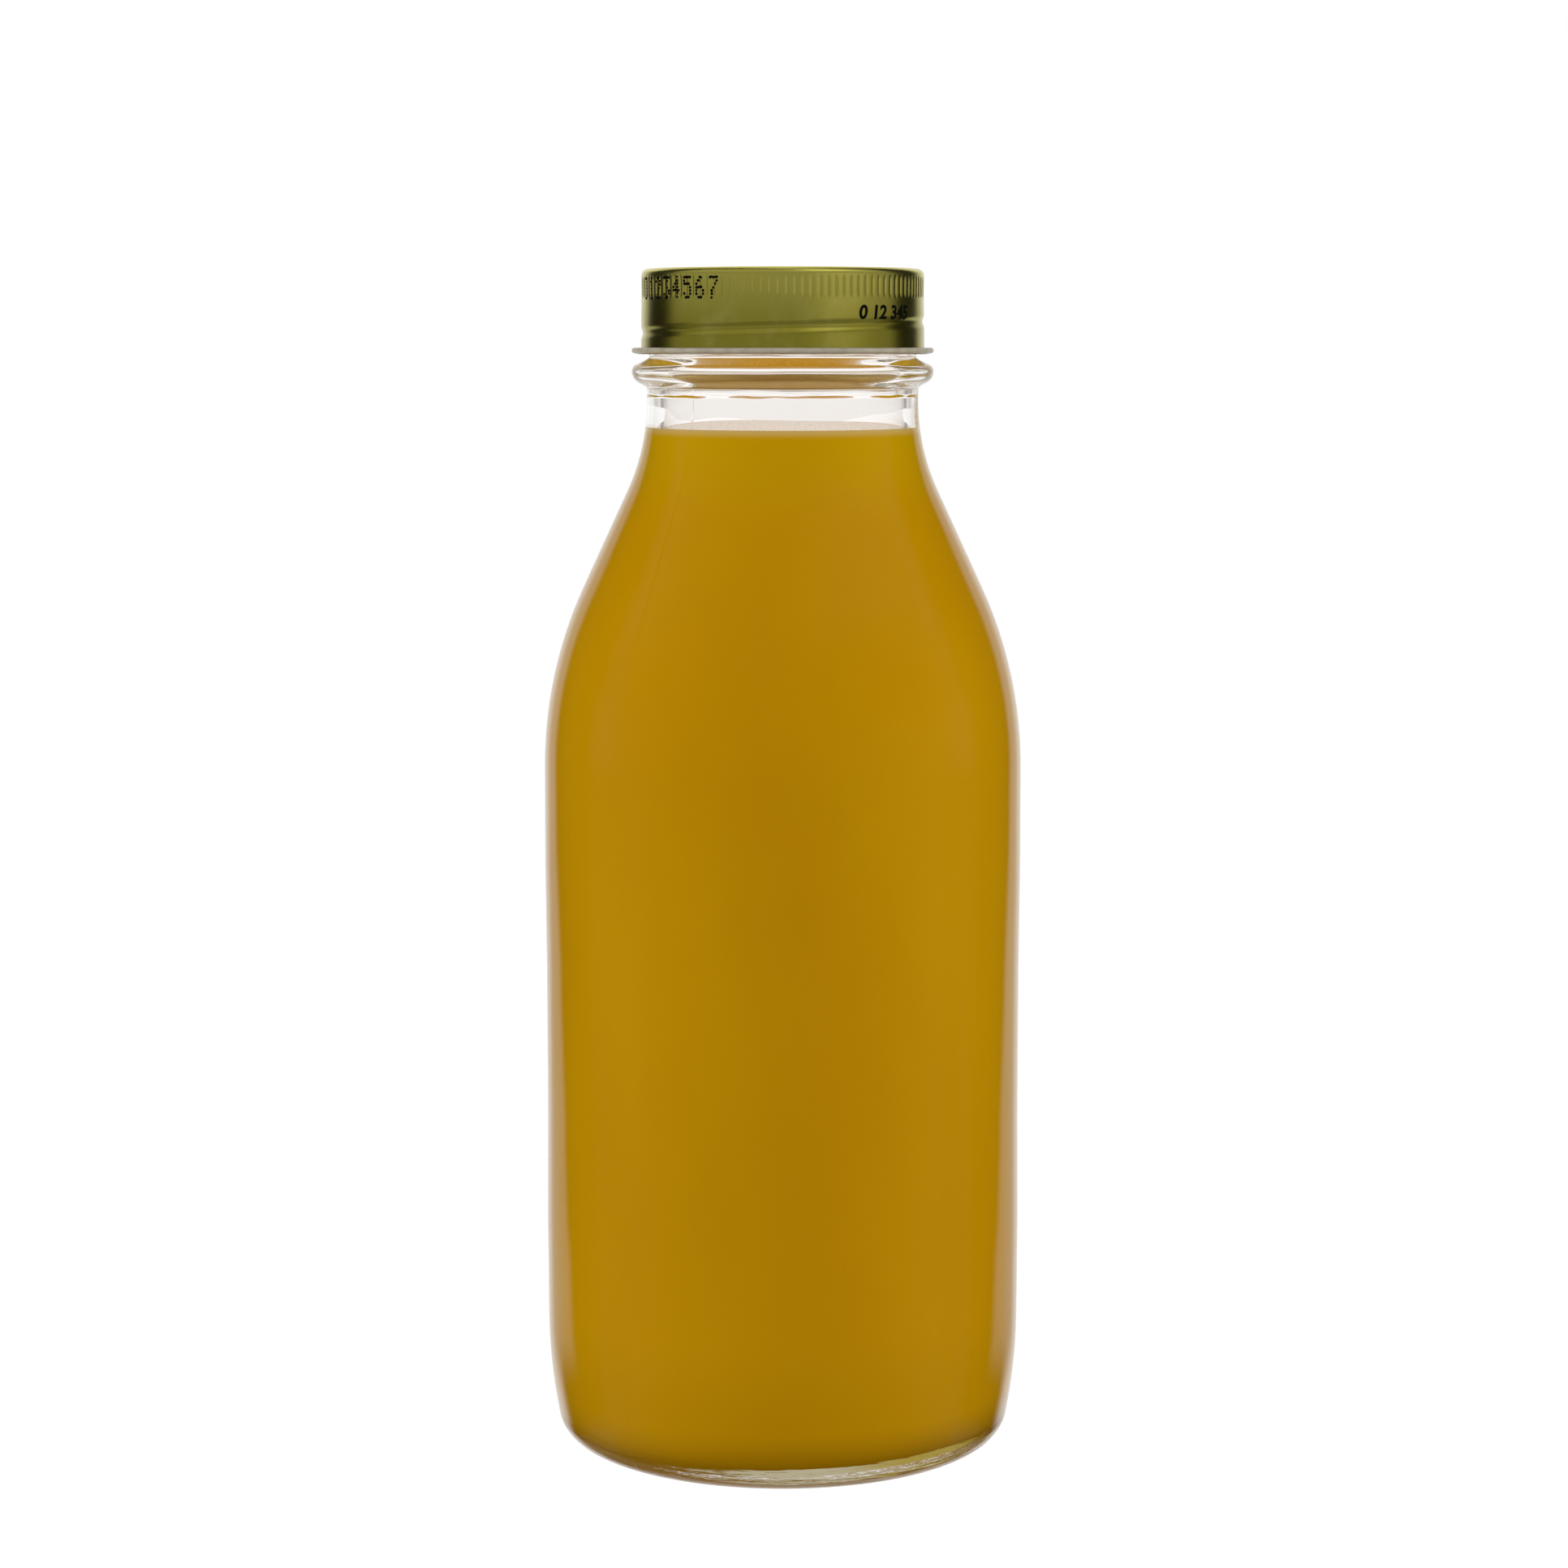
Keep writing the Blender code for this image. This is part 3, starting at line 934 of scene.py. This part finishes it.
class Value:
    """A number in a node tree, with Python's operators."""

    def __init__(self, graph: "Graph", socket: bpy.types.NodeSocket) -> None:
        """Wrap an output socket of a graph's tree."""
        self.graph = graph
        self.socket = socket

    def _math(self, operation: str, *others: "Value | float") -> "Value":
        """Result of a Math node on numbers."""
        return self.graph.value("ShaderNodeMath", {"operation": operation}, *others)

    def __add__(self, other: "Value | float") -> "Value":
        """Sum."""
        return self._math("ADD", self, other)

    def __sub__(self, other: "Value | float") -> "Value":
        """Difference."""
        return self._math("SUBTRACT", self, other)

    def __rsub__(self, other: float) -> "Value":
        """Difference from a plain number."""
        return self._math("SUBTRACT", other, self)

    def __mul__(self, other: "Value | float") -> "Value":
        """Product."""
        return self._math("MULTIPLY", self, other)

    __radd__ = __add__

    def size(self) -> "Value":
        """Number without its sign."""
        return self._math("ABSOLUTE", self)

    def across(self, other: "Value") -> "Value":
        """Square root of the sum of two squares."""
        return self._math("POWER", self * self + other * other, 0.5)

    def rise(self, low: float, high: float) -> "Value":
        """Smooth step from 0 at low to 1 at high."""
        return self.graph.value("ShaderNodeMapRange", {"interpolation_type": "SMOOTHSTEP"}, self, low, high)

    def fall(self, low: float, high: float) -> "Value":
        """Smooth step from 1 at low to 0 at high."""
        return 1.0 - self.rise(low, high)


@dataclass(frozen=True)
class Grain:
    """Noise of a finish: swells in each metre, detail, and how many times closer they lie along Z.

    A mix by it begins at the first of its edges and is complete at the second.
    """

    scale: float
    detail: float = 3.0
    upright: float = 1.0
    edges: Range = (0.35, 0.65)
    roughness: float = 0.55


class Graph:
    """Node tree of a material or a world under construction."""

    def __init__(self, owner: bpy.types.Material | bpy.types.World) -> None:
        """Empty the owner's tree.

        Args:
            owner: the material or world.
        """
        self.owner = owner
        owner.use_nodes = True
        self.tree = owner.node_tree
        self.tree.nodes.clear()

    def node(self, kind: str, settings: dict | None = None, *inputs: object,
             **named: object) -> bpy.types.Node:
        """Add a node.

        Args:
            kind: the node's type.
            settings: attributes, which are set first.
            inputs: values or links of its sockets in order.
            named: values or links of sockets by name, with _ for a space.

        Returns:
            The node.
        """
        node = self.tree.nodes.new(kind)
        for name, value in (settings or {}).items():
            setattr(node, name, value)
        pairs = [*enumerate(inputs), *((name.replace("_", " "), value) for name, value in named.items())]
        for key, value in pairs:
            socket = node.inputs[key]
            if isinstance(value, Value):
                value = value.socket
            if isinstance(value, bpy.types.NodeSocket):
                self.tree.links.new(value, socket)
            elif isinstance(value, tuple) and socket.type == "RGBA":
                socket.default_value = (*value, 1.0)
            else:
                socket.default_value = value
        return node

    def value(self, kind: str, settings: dict | None = None, *inputs: object, **named: object) -> Value:
        """Add a node and wrap its first output."""
        return Value(self, self.node(kind, settings, *inputs, **named).outputs[0])

    def place(self) -> bpy.types.NodeSocket:
        """Object coordinates, in metres."""
        return self.node("ShaderNodeTexCoord").outputs["Object"]

    def parts(self, vector: bpy.types.NodeSocket) -> tuple[Value, Value, Value]:
        """The three numbers of a vector."""
        split = self.node("ShaderNodeSeparateXYZ", None, vector)
        return tuple(Value(self, output) for output in split.outputs)

    def noise(self, place: bpy.types.NodeSocket, grain: Grain) -> Value:
        """Work out the noise of a grain.

        Args:
            place: link of the coordinates.
            grain: the grain.

        Returns:
            The noise, from 0 to 1.
        """
        shares = (1.0, 1.0, grain.upright)
        squeezed = self.node("ShaderNodeVectorMath", {"operation": "MULTIPLY"}, place, shares)
        return self.value("ShaderNodeTexNoise", None, Vector=squeezed.outputs[0], Scale=grain.scale,
                          Detail=grain.detail, Roughness=grain.roughness)

    def mix(self, factor: Value | float, first: object, second: object) -> bpy.types.NodeSocket:
        """Mix two colours.

        Args:
            factor: share of the second.
            first: a plain colour or a link.
            second: a plain colour or a link.

        Returns:
            The link of the mixture.
        """
        node = self.node("ShaderNodeMix", {"data_type": "RGBA"}, factor)
        for socket, colour in ((node.inputs[6], first), (node.inputs[7], second)):
            if isinstance(colour, tuple):
                socket.default_value = (*colour, 1.0)
            else:
                self.tree.links.new(colour, socket)
        return node.outputs[2]

    def bump(self, height: Value, distance: float) -> bpy.types.NodeSocket:
        """Normal that makes a height from 0 to 1 stand out by a distance."""
        bump = self.node("ShaderNodeBump", None, Height=height, Distance=distance, Strength=1.0)
        return bump.outputs["Normal"]

    def principled(self, colour: object, roughness: object, **named: object) -> bpy.types.Node:
        """Principled shader of a colour and a roughness."""
        return self.node("ShaderNodeBsdfPrincipled", None, Base_Color=colour, Roughness=roughness, **named)

    def blend(self, factor: object, first: bpy.types.Node, second: bpy.types.Node) -> bpy.types.Node:
        """Mixture of two shaders."""
        return self.node("ShaderNodeMixShader", None, factor, first.outputs[0], second.outputs[0])

    def end(self, shader: bpy.types.Node,
            kind: str = "ShaderNodeOutputMaterial") -> bpy.types.Material | bpy.types.World:
        """Lead a shader to the tree's output and give the tree's owner."""
        self.node(kind, None, shader.outputs[0])
        return self.owner


@dataclass(frozen=True)
class ClearGlass:
    """Clear soda glass with a faint warm tint and the fine unevenness of a moulded surface.

    Rays to lamps, and rays that gather soft light on the juice, go straight through it.
    """

    tint_thin: Colour = (0.99, 0.972, 0.955)
    tint_thick: Colour = (0.985, 0.962, 0.94)
    head_on: Colour = (0.1, 0.1, 0.1)
    refraction: float = 1.5
    swells: Grain = Grain(55.0, detail=2.0, upright=0.4)
    streaks: Grain = Grain(55.0, upright=16.0)
    streak_heights: Range = (3.8 * MM, 7.0 * MM)
    swell_share: float = 0.1
    relief: float = 0.2 * MM

    def material(self) -> bpy.types.Material:
        """Build the material."""
        graph = Graph(bpy.data.materials.new("clear_glass"))
        place = graph.place()
        swell = graph.noise(place, self.swells)
        tint = graph.mix(swell.rise(*self.swells.edges), self.tint_thin, self.tint_thick)
        base = graph.parts(place)[2].fall(*self.streak_heights)
        relief = swell * self.swell_share + graph.noise(place, self.streaks) * base
        glass = graph.principled(tint, 0.0, IOR=self.refraction, Transmission_Weight=1.0,
                                 Specular_Tint=self.head_on, Normal=graph.bump(relief, self.relief))
        clear = graph.node("ShaderNodeBsdfTransparent", None, self.tint_thin)
        rays = graph.node("ShaderNodeLightPath").outputs
        lit = graph.blend(rays["Is Shadow Ray"], glass, clear)
        return graph.end(graph.blend(rays["Is Diffuse Ray"], lit, clear))


@dataclass(frozen=True)
class WetJuice:
    """Opaque yellow juice against the glass, with faint clouds and fine pulp.

    It is painted paler towards its level as light from above, with a band of painted light and reflection at
    the level, and painted darker towards the floor as shade. Its underside carries a painted reflection of
    the table: pale in the middle and yellow on the right.
    """

    base: Colour = (0.43, 0.214, 0.0002)
    cloud: Colour = (0.415, 0.199, 0.0002)
    clouds: Grain = Grain(28.0, upright=0.45, edges=(0.35, 0.7))
    pulp: Colour = (0.47, 0.245, 0.001)
    pulps: Grain = Grain(900.0, detail=2.0, edges=(0.6, 0.8))
    pulp_share: float = 0.35
    # Painted light: the juice is painted paler towards its level, standing in for light falling from above.
    upper: Colour = (0.43, 0.237, 0.0002)
    upper_light_heights: Range = (186.0 * MM, 206.5 * MM)
    # Painted light: a pale band at the juice's level stands in for light from above and the meniscus's
    # reflection.
    level_light: Colour = (0.62, 0.43, 0.18)
    level_light_heights: Range = (205.5 * MM, 208.1 * MM)
    # Painted shade: the juice is painted darker towards the floor, following the floor's tilt.
    low: Colour = (0.385, 0.190, 0.0002)
    low_shade_heights: Range = (12.0 * MM, 32.0 * MM)
    # Painted reflection: the underside is painted pale like the lit table it mirrors, and yellow on the
    # right.
    under: Colour = (0.95, 0.86, 0.58)
    under_east_reflection: Colour = (0.78, 0.60, 0.12)
    under_middle: float = 6.0 * MM
    under_radii: Range = (20.0 * MM, 24.0 * MM)
    east_reach: Range = (6.0 * MM, 18.0 * MM)
    under_heights: Range = (8.0 * MM, 9.0 * MM)
    floor_slope: float = 0.027
    roughness: float = 0.6

    def colour(self, graph: Graph) -> bpy.types.NodeSocket:
        """Mix the base colour.

        Args:
            graph: the material's tree.

        Returns:
            The link of the colour.
        """
        place = graph.place()
        clouds = graph.noise(place, self.clouds).rise(*self.clouds.edges)
        pulp = graph.noise(place, self.pulps).rise(*self.pulps.edges)
        east, north, height = graph.parts(place)
        body = graph.mix(clouds, self.base, self.cloud)
        # Painted light: paler towards the level.
        body = graph.mix(height.rise(*self.upper_light_heights), body, self.upper)
        # Painted shade towards the floor.
        above = height - east * self.floor_slope
        body = graph.mix(above.fall(*self.low_shade_heights), body, self.low)
        mixed = graph.mix(pulp * self.pulp_share, body, self.pulp)
        # Painted reflection of the table on the underside.
        within = (east - self.under_middle).across(north).fall(*self.under_radii)
        within = within * height.fall(*self.under_heights)
        under = graph.mix(east.rise(*self.east_reach), self.under, self.under_east_reflection)
        mixed = graph.mix(within, mixed, under)
        # Painted light and reflection at the level.
        return graph.mix(height.rise(*self.level_light_heights), mixed, self.level_light)

    def material(self) -> bpy.types.Material:
        """Build the material, which has no gloss because the juice wets the glass."""
        graph = Graph(bpy.data.materials.new("yellow_juice_wetted"))
        return graph.end(graph.principled(self.colour(graph), self.roughness, Specular_IOR_Level=0.0))


@dataclass(frozen=True)
class JuiceTop:
    """Free top of the juice: still and glossy, with a trace of fine foam."""

    # Painted light: the top's juice and foam are painted lighter than the wetted juice, standing in for light
    # on the top.
    juice: Colour = (0.86, 0.46, 0.02)
    foam: Colour = (0.95, 0.58, 0.08)
    bubbles: Grain = Grain(1500.0)
    foam_share: float = 0.12
    foam_swing: float = 0.3
    foam_rough: float = 0.6
    still_rough: float = 0.05
    refraction: float = 1.34

    def material(self) -> bpy.types.Material:
        """Build the material: dull foam over a clear, glossy surface."""
        graph = Graph(bpy.data.materials.new("yellow_juice_top"))
        foam = graph.noise(graph.place(), self.bubbles).rise(*self.bubbles.edges)
        colour = graph.mix(foam, self.juice, self.foam)
        still = graph.principled(colour, self.still_rough, IOR=self.refraction)
        dull = graph.principled(colour, self.foam_rough, Specular_IOR_Level=0.0)
        share = foam * self.foam_swing + (self.foam_share - self.foam_swing / 2.0)
        return graph.end(graph.blend(share, still, dull))


@dataclass(frozen=True)
class Lacquer:
    """Gold lacquer over bright sheet steel: satin metal under a thin clear coat."""

    # Painted shade: the gold is painted darker towards the lid's foot and lighter towards its top, standing
    # in for light from above.
    shaded_gold: Colour = (0.48, 0.425, 0.05)
    gold: Colour = (0.71, 0.64, 0.12)
    worn: Colour = (0.72, 0.66, 0.18)
    shade_heights: Range = (226.0 * MM, 238.0 * MM)
    mottles: Grain = Grain(160.0, detail=4.0, edges=(0.4, 0.8))
    mottle_share: float = 0.5
    grains: Grain = Grain(900.0, detail=2.0, upright=6.0)
    grain_share: float = 0.5
    smoothest: float = 0.19
    grain_rough: float = 0.06
    mottle_rough: float = 0.05
    coat: float = 0.1
    coat_rough: float = 0.12
    coat_refraction: float = 1.5
    relief: float = 0.01 * MM

    def material(self) -> bpy.types.Material:
        """Build the material."""
        graph = Graph(bpy.data.materials.new("gold_lacquer"))
        place = graph.place()
        mottle, grain = graph.noise(place, self.mottles), graph.noise(place, self.grains)
        # Painted shade low on the skirt, painted light towards the top.
        gold = graph.mix(graph.parts(place)[2].rise(*self.shade_heights), self.shaded_gold, self.gold)
        colour = graph.mix(mottle.rise(*self.mottles.edges) * self.mottle_share, gold, self.worn)
        rough = self.smoothest + grain * self.grain_rough + mottle * self.mottle_rough
        relief = graph.bump(grain * self.grain_share + mottle, self.relief)
        metal = graph.principled(colour, rough, Metallic=1.0, Coat_Weight=self.coat, Normal=relief,
                                 Coat_Roughness=self.coat_rough, Coat_IOR=self.coat_refraction)
        return graph.end(metal)


@dataclass(frozen=True)
class Ink:
    """Black ink, a little thinner in places so that the lacquer warms it."""

    black: Colour = (0.0015, 0.0013, 0.001)
    thin: Colour = (0.006, 0.005, 0.002)
    blots: Grain = Grain(1500.0, detail=2.0, edges=(0.5, 0.75))
    smoothest: float = 0.5
    blot_rough: float = 0.2
    shine: float = 0.1

    def material(self) -> bpy.types.Material:
        """Build the material."""
        graph = Graph(bpy.data.materials.new("black_ink"))
        blots = graph.noise(graph.place(), self.blots)
        colour = graph.mix(blots.rise(*self.blots.edges), self.black, self.thin)
        rough = self.smoothest + blots * self.blot_rough
        return graph.end(graph.principled(colour, rough, Specular_IOR_Level=self.shine))


@dataclass(frozen=True)
class Enamel:
    """White enamel of the curl, which turns to a cream lining on the lid's inside."""

    # Painted shade: the curl's white and grey are painted much darker than white enamel, standing in for the
    # shade on its front.
    white: Colour = (0.36, 0.31, 0.255)
    grey: Colour = (0.29, 0.245, 0.195)
    cream: Colour = (0.95, 0.83, 0.42)
    mottles: Grain = Grain(300.0, edges=(0.4, 0.7))
    lining_radii: Range = (28.0 * MM, 28.4 * MM)
    roughness: float = 0.35
    relief: float = 0.01 * MM

    def material(self) -> bpy.types.Material:
        """Build the material."""
        graph = Graph(bpy.data.materials.new("white_enamel"))
        place = graph.place()
        east, north, _ = graph.parts(place)
        mottle = graph.noise(place, self.mottles)
        within = east.across(north).fall(*self.lining_radii)
        outer = graph.mix(mottle.rise(*self.mottles.edges), self.white, self.grey)
        colour = graph.mix(within, outer, self.cream)
        return graph.end(graph.principled(colour, self.roughness, Normal=graph.bump(mottle, self.relief)))


@dataclass(frozen=True)
class Softbox:
    """Soft lamp at an azimuth from the front towards the right and an elevation, aimed at the bottle."""

    name: str
    azimuth: float
    elevation: float
    distance: float
    width: float
    height: float
    power: float
    colour: Colour = (1.0, 1.0, 1.0)
    aim: float = 0.12

    def build(self) -> bpy.types.Object:
        """Make the lamp, which isn't mirrored in the glass."""
        lamp = bpy.data.lights.new(self.name, "AREA")
        lamp.shape = "RECTANGLE"
        lamp.size, lamp.size_y = self.width, self.height
        lamp.energy = self.power
        lamp.color = self.colour
        thing = linked(self.name, lamp)
        side, up = math.radians(self.azimuth), math.radians(self.elevation)
        away = np.array((math.sin(side) * math.cos(up), -math.cos(side) * math.cos(up), math.sin(up)))
        thing.location = away * self.distance + np.array((0.0, 0.0, self.aim))
        thing.rotation_euler = (math.pi / 2.0 - up, 0.0, side)
        thing.visible_glossy = False
        thing.visible_camera = False
        thing.visible_transmission = False
        return thing


@dataclass(frozen=True)
class Glow:
    """Soft-edged patch of the surroundings that is seen in reflections and lights the bottle.

    It covers a range of azimuths, in degrees from straight behind the bottle towards the right, and a range
    of rises, the sine of the elevation. Its level falls off smoothly across a blur on each side of an edge.
    From the higher of its flare_rises down to the lower, its azimuths come to reach farther out by its flare.
    """

    level: float
    azimuths: Range = (-20.0, 200.0)
    rises: Range = (-1.5, 1.5)
    blur: float = 3.0
    rise_blur: float = 0.05
    both_sides: bool = True
    flare: float = 0.0
    flare_rises: Range = (-0.30, -0.11)

    def at(self, azimuth: Value, rise: Value) -> Value:
        """Work out the level.

        Args:
            azimuth: azimuth in degrees.
            rise: sine of the elevation.

        Returns:
            The level seen there.
        """
        (near, far), (low, high) = self.azimuths, self.rises
        turn = azimuth.size() if self.both_sides else azimuth
        if self.flare:
            turn = turn - rise.fall(*self.flare_rises) * self.flare
        across = turn.rise(near - self.blur, near + self.blur) * turn.fall(far - self.blur, far + self.blur)
        along = rise.rise(low - self.rise_blur, low + self.rise_blur)
        return across * along * rise.fall(high - self.rise_blur, high + self.rise_blur) * self.level


@dataclass
class Studio:
    """White studio: pale floor, soft lamps, surroundings that shape the reflections, and the camera."""

    camera_distance: float = 0.750
    camera_height: float = 0.2233
    camera_side: float = 0.00026
    camera_pitch: float = math.radians(6.7015)
    lens: float = 85.007
    film: float = 36.0
    clip: Range = (0.05, 50.0)
    floor_size: float = 6.0
    floor_drop: float = 0.05 * MM
    floor_glow: float = 1.0
    floor_tones: tuple[Colour, Colour] = ((0.10, 0.10, 0.10), (0.11, 0.11, 0.11))
    floor_mottle: Grain = Grain(40.0)
    white: Colour = (1.0, 1.0, 1.0)
    bounces: int = 24
    softboxes: tuple[Softbox, ...] = (
        Softbox("left_softbox", -75.0, 9.0, 1.2, 0.7, 1.0, 11.4, (0.96, 1.05, 0.85), aim=0.08),
        Softbox("right_softbox", 75.0, 9.0, 1.2, 0.7, 1.0, 10.6, (0.96, 1.05, 0.85), aim=0.08),
        Softbox("front_softbox", 0.0, 16.0, 1.5, 1.2, 0.8, 8.3),
    )
    glows: tuple[Glow, ...] = (
        Glow(0.016),
        Glow(0.6, azimuths=(-20.0, 38.5), rises=(-0.3, 0.35), blur=4.0, flare=18.0),
        Glow(0.3, azimuths=(-20.0, 26.0), rises=(-0.3, 0.35), blur=5.0),
        Glow(0.8, azimuths=(-42.0, 35.5), rises=(0.35, 1.5), both_sides=False),
        Glow(1.0, azimuths=(-20.0, 34.0), rises=(-1.5, -0.3), blur=7.0),
        Glow(0.3, azimuths=(40.0, 80.0), rises=(-1.5, -0.45), blur=5.0),
        Glow(0.2, azimuths=(80.0, 200.0), rises=(-1.5, -0.38), blur=8.0),
        Glow(0.12, azimuths=(77.0, 200.0), rises=(-0.38, -0.07), blur=8.0),
        Glow(0.20, azimuths=(98.0, 200.0), rises=(-0.38, -0.07), blur=9.0),
        Glow(0.30, azimuths=(77.0, 200.0), rises=(-0.07, 0.15), blur=8.0),
        Glow(0.26, azimuths=(80.0, 200.0), rises=(0.15, 1.5), blur=8.0),
        Glow(0.12, azimuths=(80.0, 200.0), rises=(0.4, 0.8), blur=8.0),
        Glow(0.3, rises=(-1.5, -0.88)),
        Glow(0.17, azimuths=(112.0, 150.0), rises=(-0.1, 0.2), blur=14.0, both_sides=False),
        Glow(0.45, azimuths=(105.0, 160.0), rises=(0.55, 0.97), blur=14.0, both_sides=False),
    )
    through_glass: Glow = Glow(0.35, azimuths=(35.0, 80.0))
    warmth: Colour = (1.0, 0.92, 0.81)
    warm_azimuths: Range = (22.0, 45.0)

    def add_camera(self) -> None:
        """Camera in front of the bottle, a little above the neck, looking slightly down."""
        camera = bpy.data.cameras.new("camera")
        camera.lens = self.lens
        camera.sensor_width = self.film
        camera.clip_start, camera.clip_end = self.clip
        thing = linked("camera", camera)
        thing.location = (self.camera_side, -self.camera_distance, self.camera_height)
        thing.rotation_euler = (math.pi / 2.0 - self.camera_pitch, 0.0, 0.0)
        bpy.context.scene.camera = thing

    def add_floor(self) -> None:
        """Pale floor that glows like a lit table, so that it stays near white with a faint shadow."""
        half = self.floor_size / 2.0
        mesh = bpy.data.meshes.new("floor")
        corners = [(-half, -half, 0.0), (half, -half, 0.0), (half, half, 0.0), (-half, half, 0.0)]
        mesh.from_pydata(corners, [], [(0, 1, 2, 3)])
        graph = Graph(bpy.data.materials.new("pale_table"))
        tone = graph.noise(graph.place(), self.floor_mottle)
        paper = graph.node("ShaderNodeBsdfDiffuse", None, graph.mix(tone, *self.floor_tones))
        glow = graph.node("ShaderNodeEmission", None, self.white, self.floor_glow)
        material = graph.end(graph.node("ShaderNodeAddShader", None, paper.outputs[0], glow.outputs[0]))
        material.cycles.emission_sampling = "NONE"
        mesh.materials.append(material)
        thing = linked("floor", mesh)
        thing.location = (0.0, 0.0, -self.floor_drop)
        thing.visible_glossy = False
        thing.visible_diffuse = False
        thing.visible_shadow = False

    def add_surroundings(self) -> None:
        """World of a studio: white to the eye, and otherwise the sum of the glows.

        Through glass the dark gaps beside the backdrop are filled a little, and the sides are warmer.
        """
        graph = Graph(bpy.data.worlds.new("studio"))
        east, north, up = graph.parts(graph.node("ShaderNodeTexCoord").outputs["Generated"])
        turn = graph.value("ShaderNodeMath", {"operation": "ARCTAN2"}, east, north)
        azimuth = turn * (180.0 / math.pi)
        level = sum((glow.at(azimuth, up) for glow in self.glows[1:]), self.glows[0].at(azimuth, up))
        rays = graph.node("ShaderNodeLightPath").outputs
        through = Value(graph, rays["Is Transmission Ray"])
        level = level + through * self.through_glass.at(azimuth, up)
        warm = through * azimuth.size().rise(*self.warm_azimuths)
        shaped = graph.node("ShaderNodeBackground", None, graph.mix(warm, self.white, self.warmth), level)
        plain = graph.node("ShaderNodeBackground", None, self.white, 1.0)
        seen = graph.blend(rays["Is Camera Ray"], shaped, plain)
        bpy.context.scene.world = graph.end(seen, "ShaderNodeOutputWorld")

    def build(self) -> None:
        """Make the whole studio."""
        scene = bpy.context.scene
        scene.view_settings.view_transform = "Standard"
        scene.cycles.max_bounces = scene.cycles.transmission_bounces = self.bounces
        scene.cycles.glossy_bounces = self.bounces
        self.add_camera()
        self.add_floor()
        self.add_surroundings()
        for softbox in self.softboxes:
            softbox.build()


def main() -> None:
    """Build the studio, the glass, the juice and the lid."""
    logging.basicConfig(level=logging.INFO, format="%(name)s: %(message)s")
    Studio().build()
    glass = GlassBottle()
    glass.build(ClearGlass())
    JuiceFill(glass).build(WetJuice(), JuiceTop())
    lid = ScrewLid()
    lid.build(Lacquer(), Enamel())
    DotCode(lid).build(Ink())
    PrintedMark(lid).build(Ink())


if __name__ == "__main__":
    main()
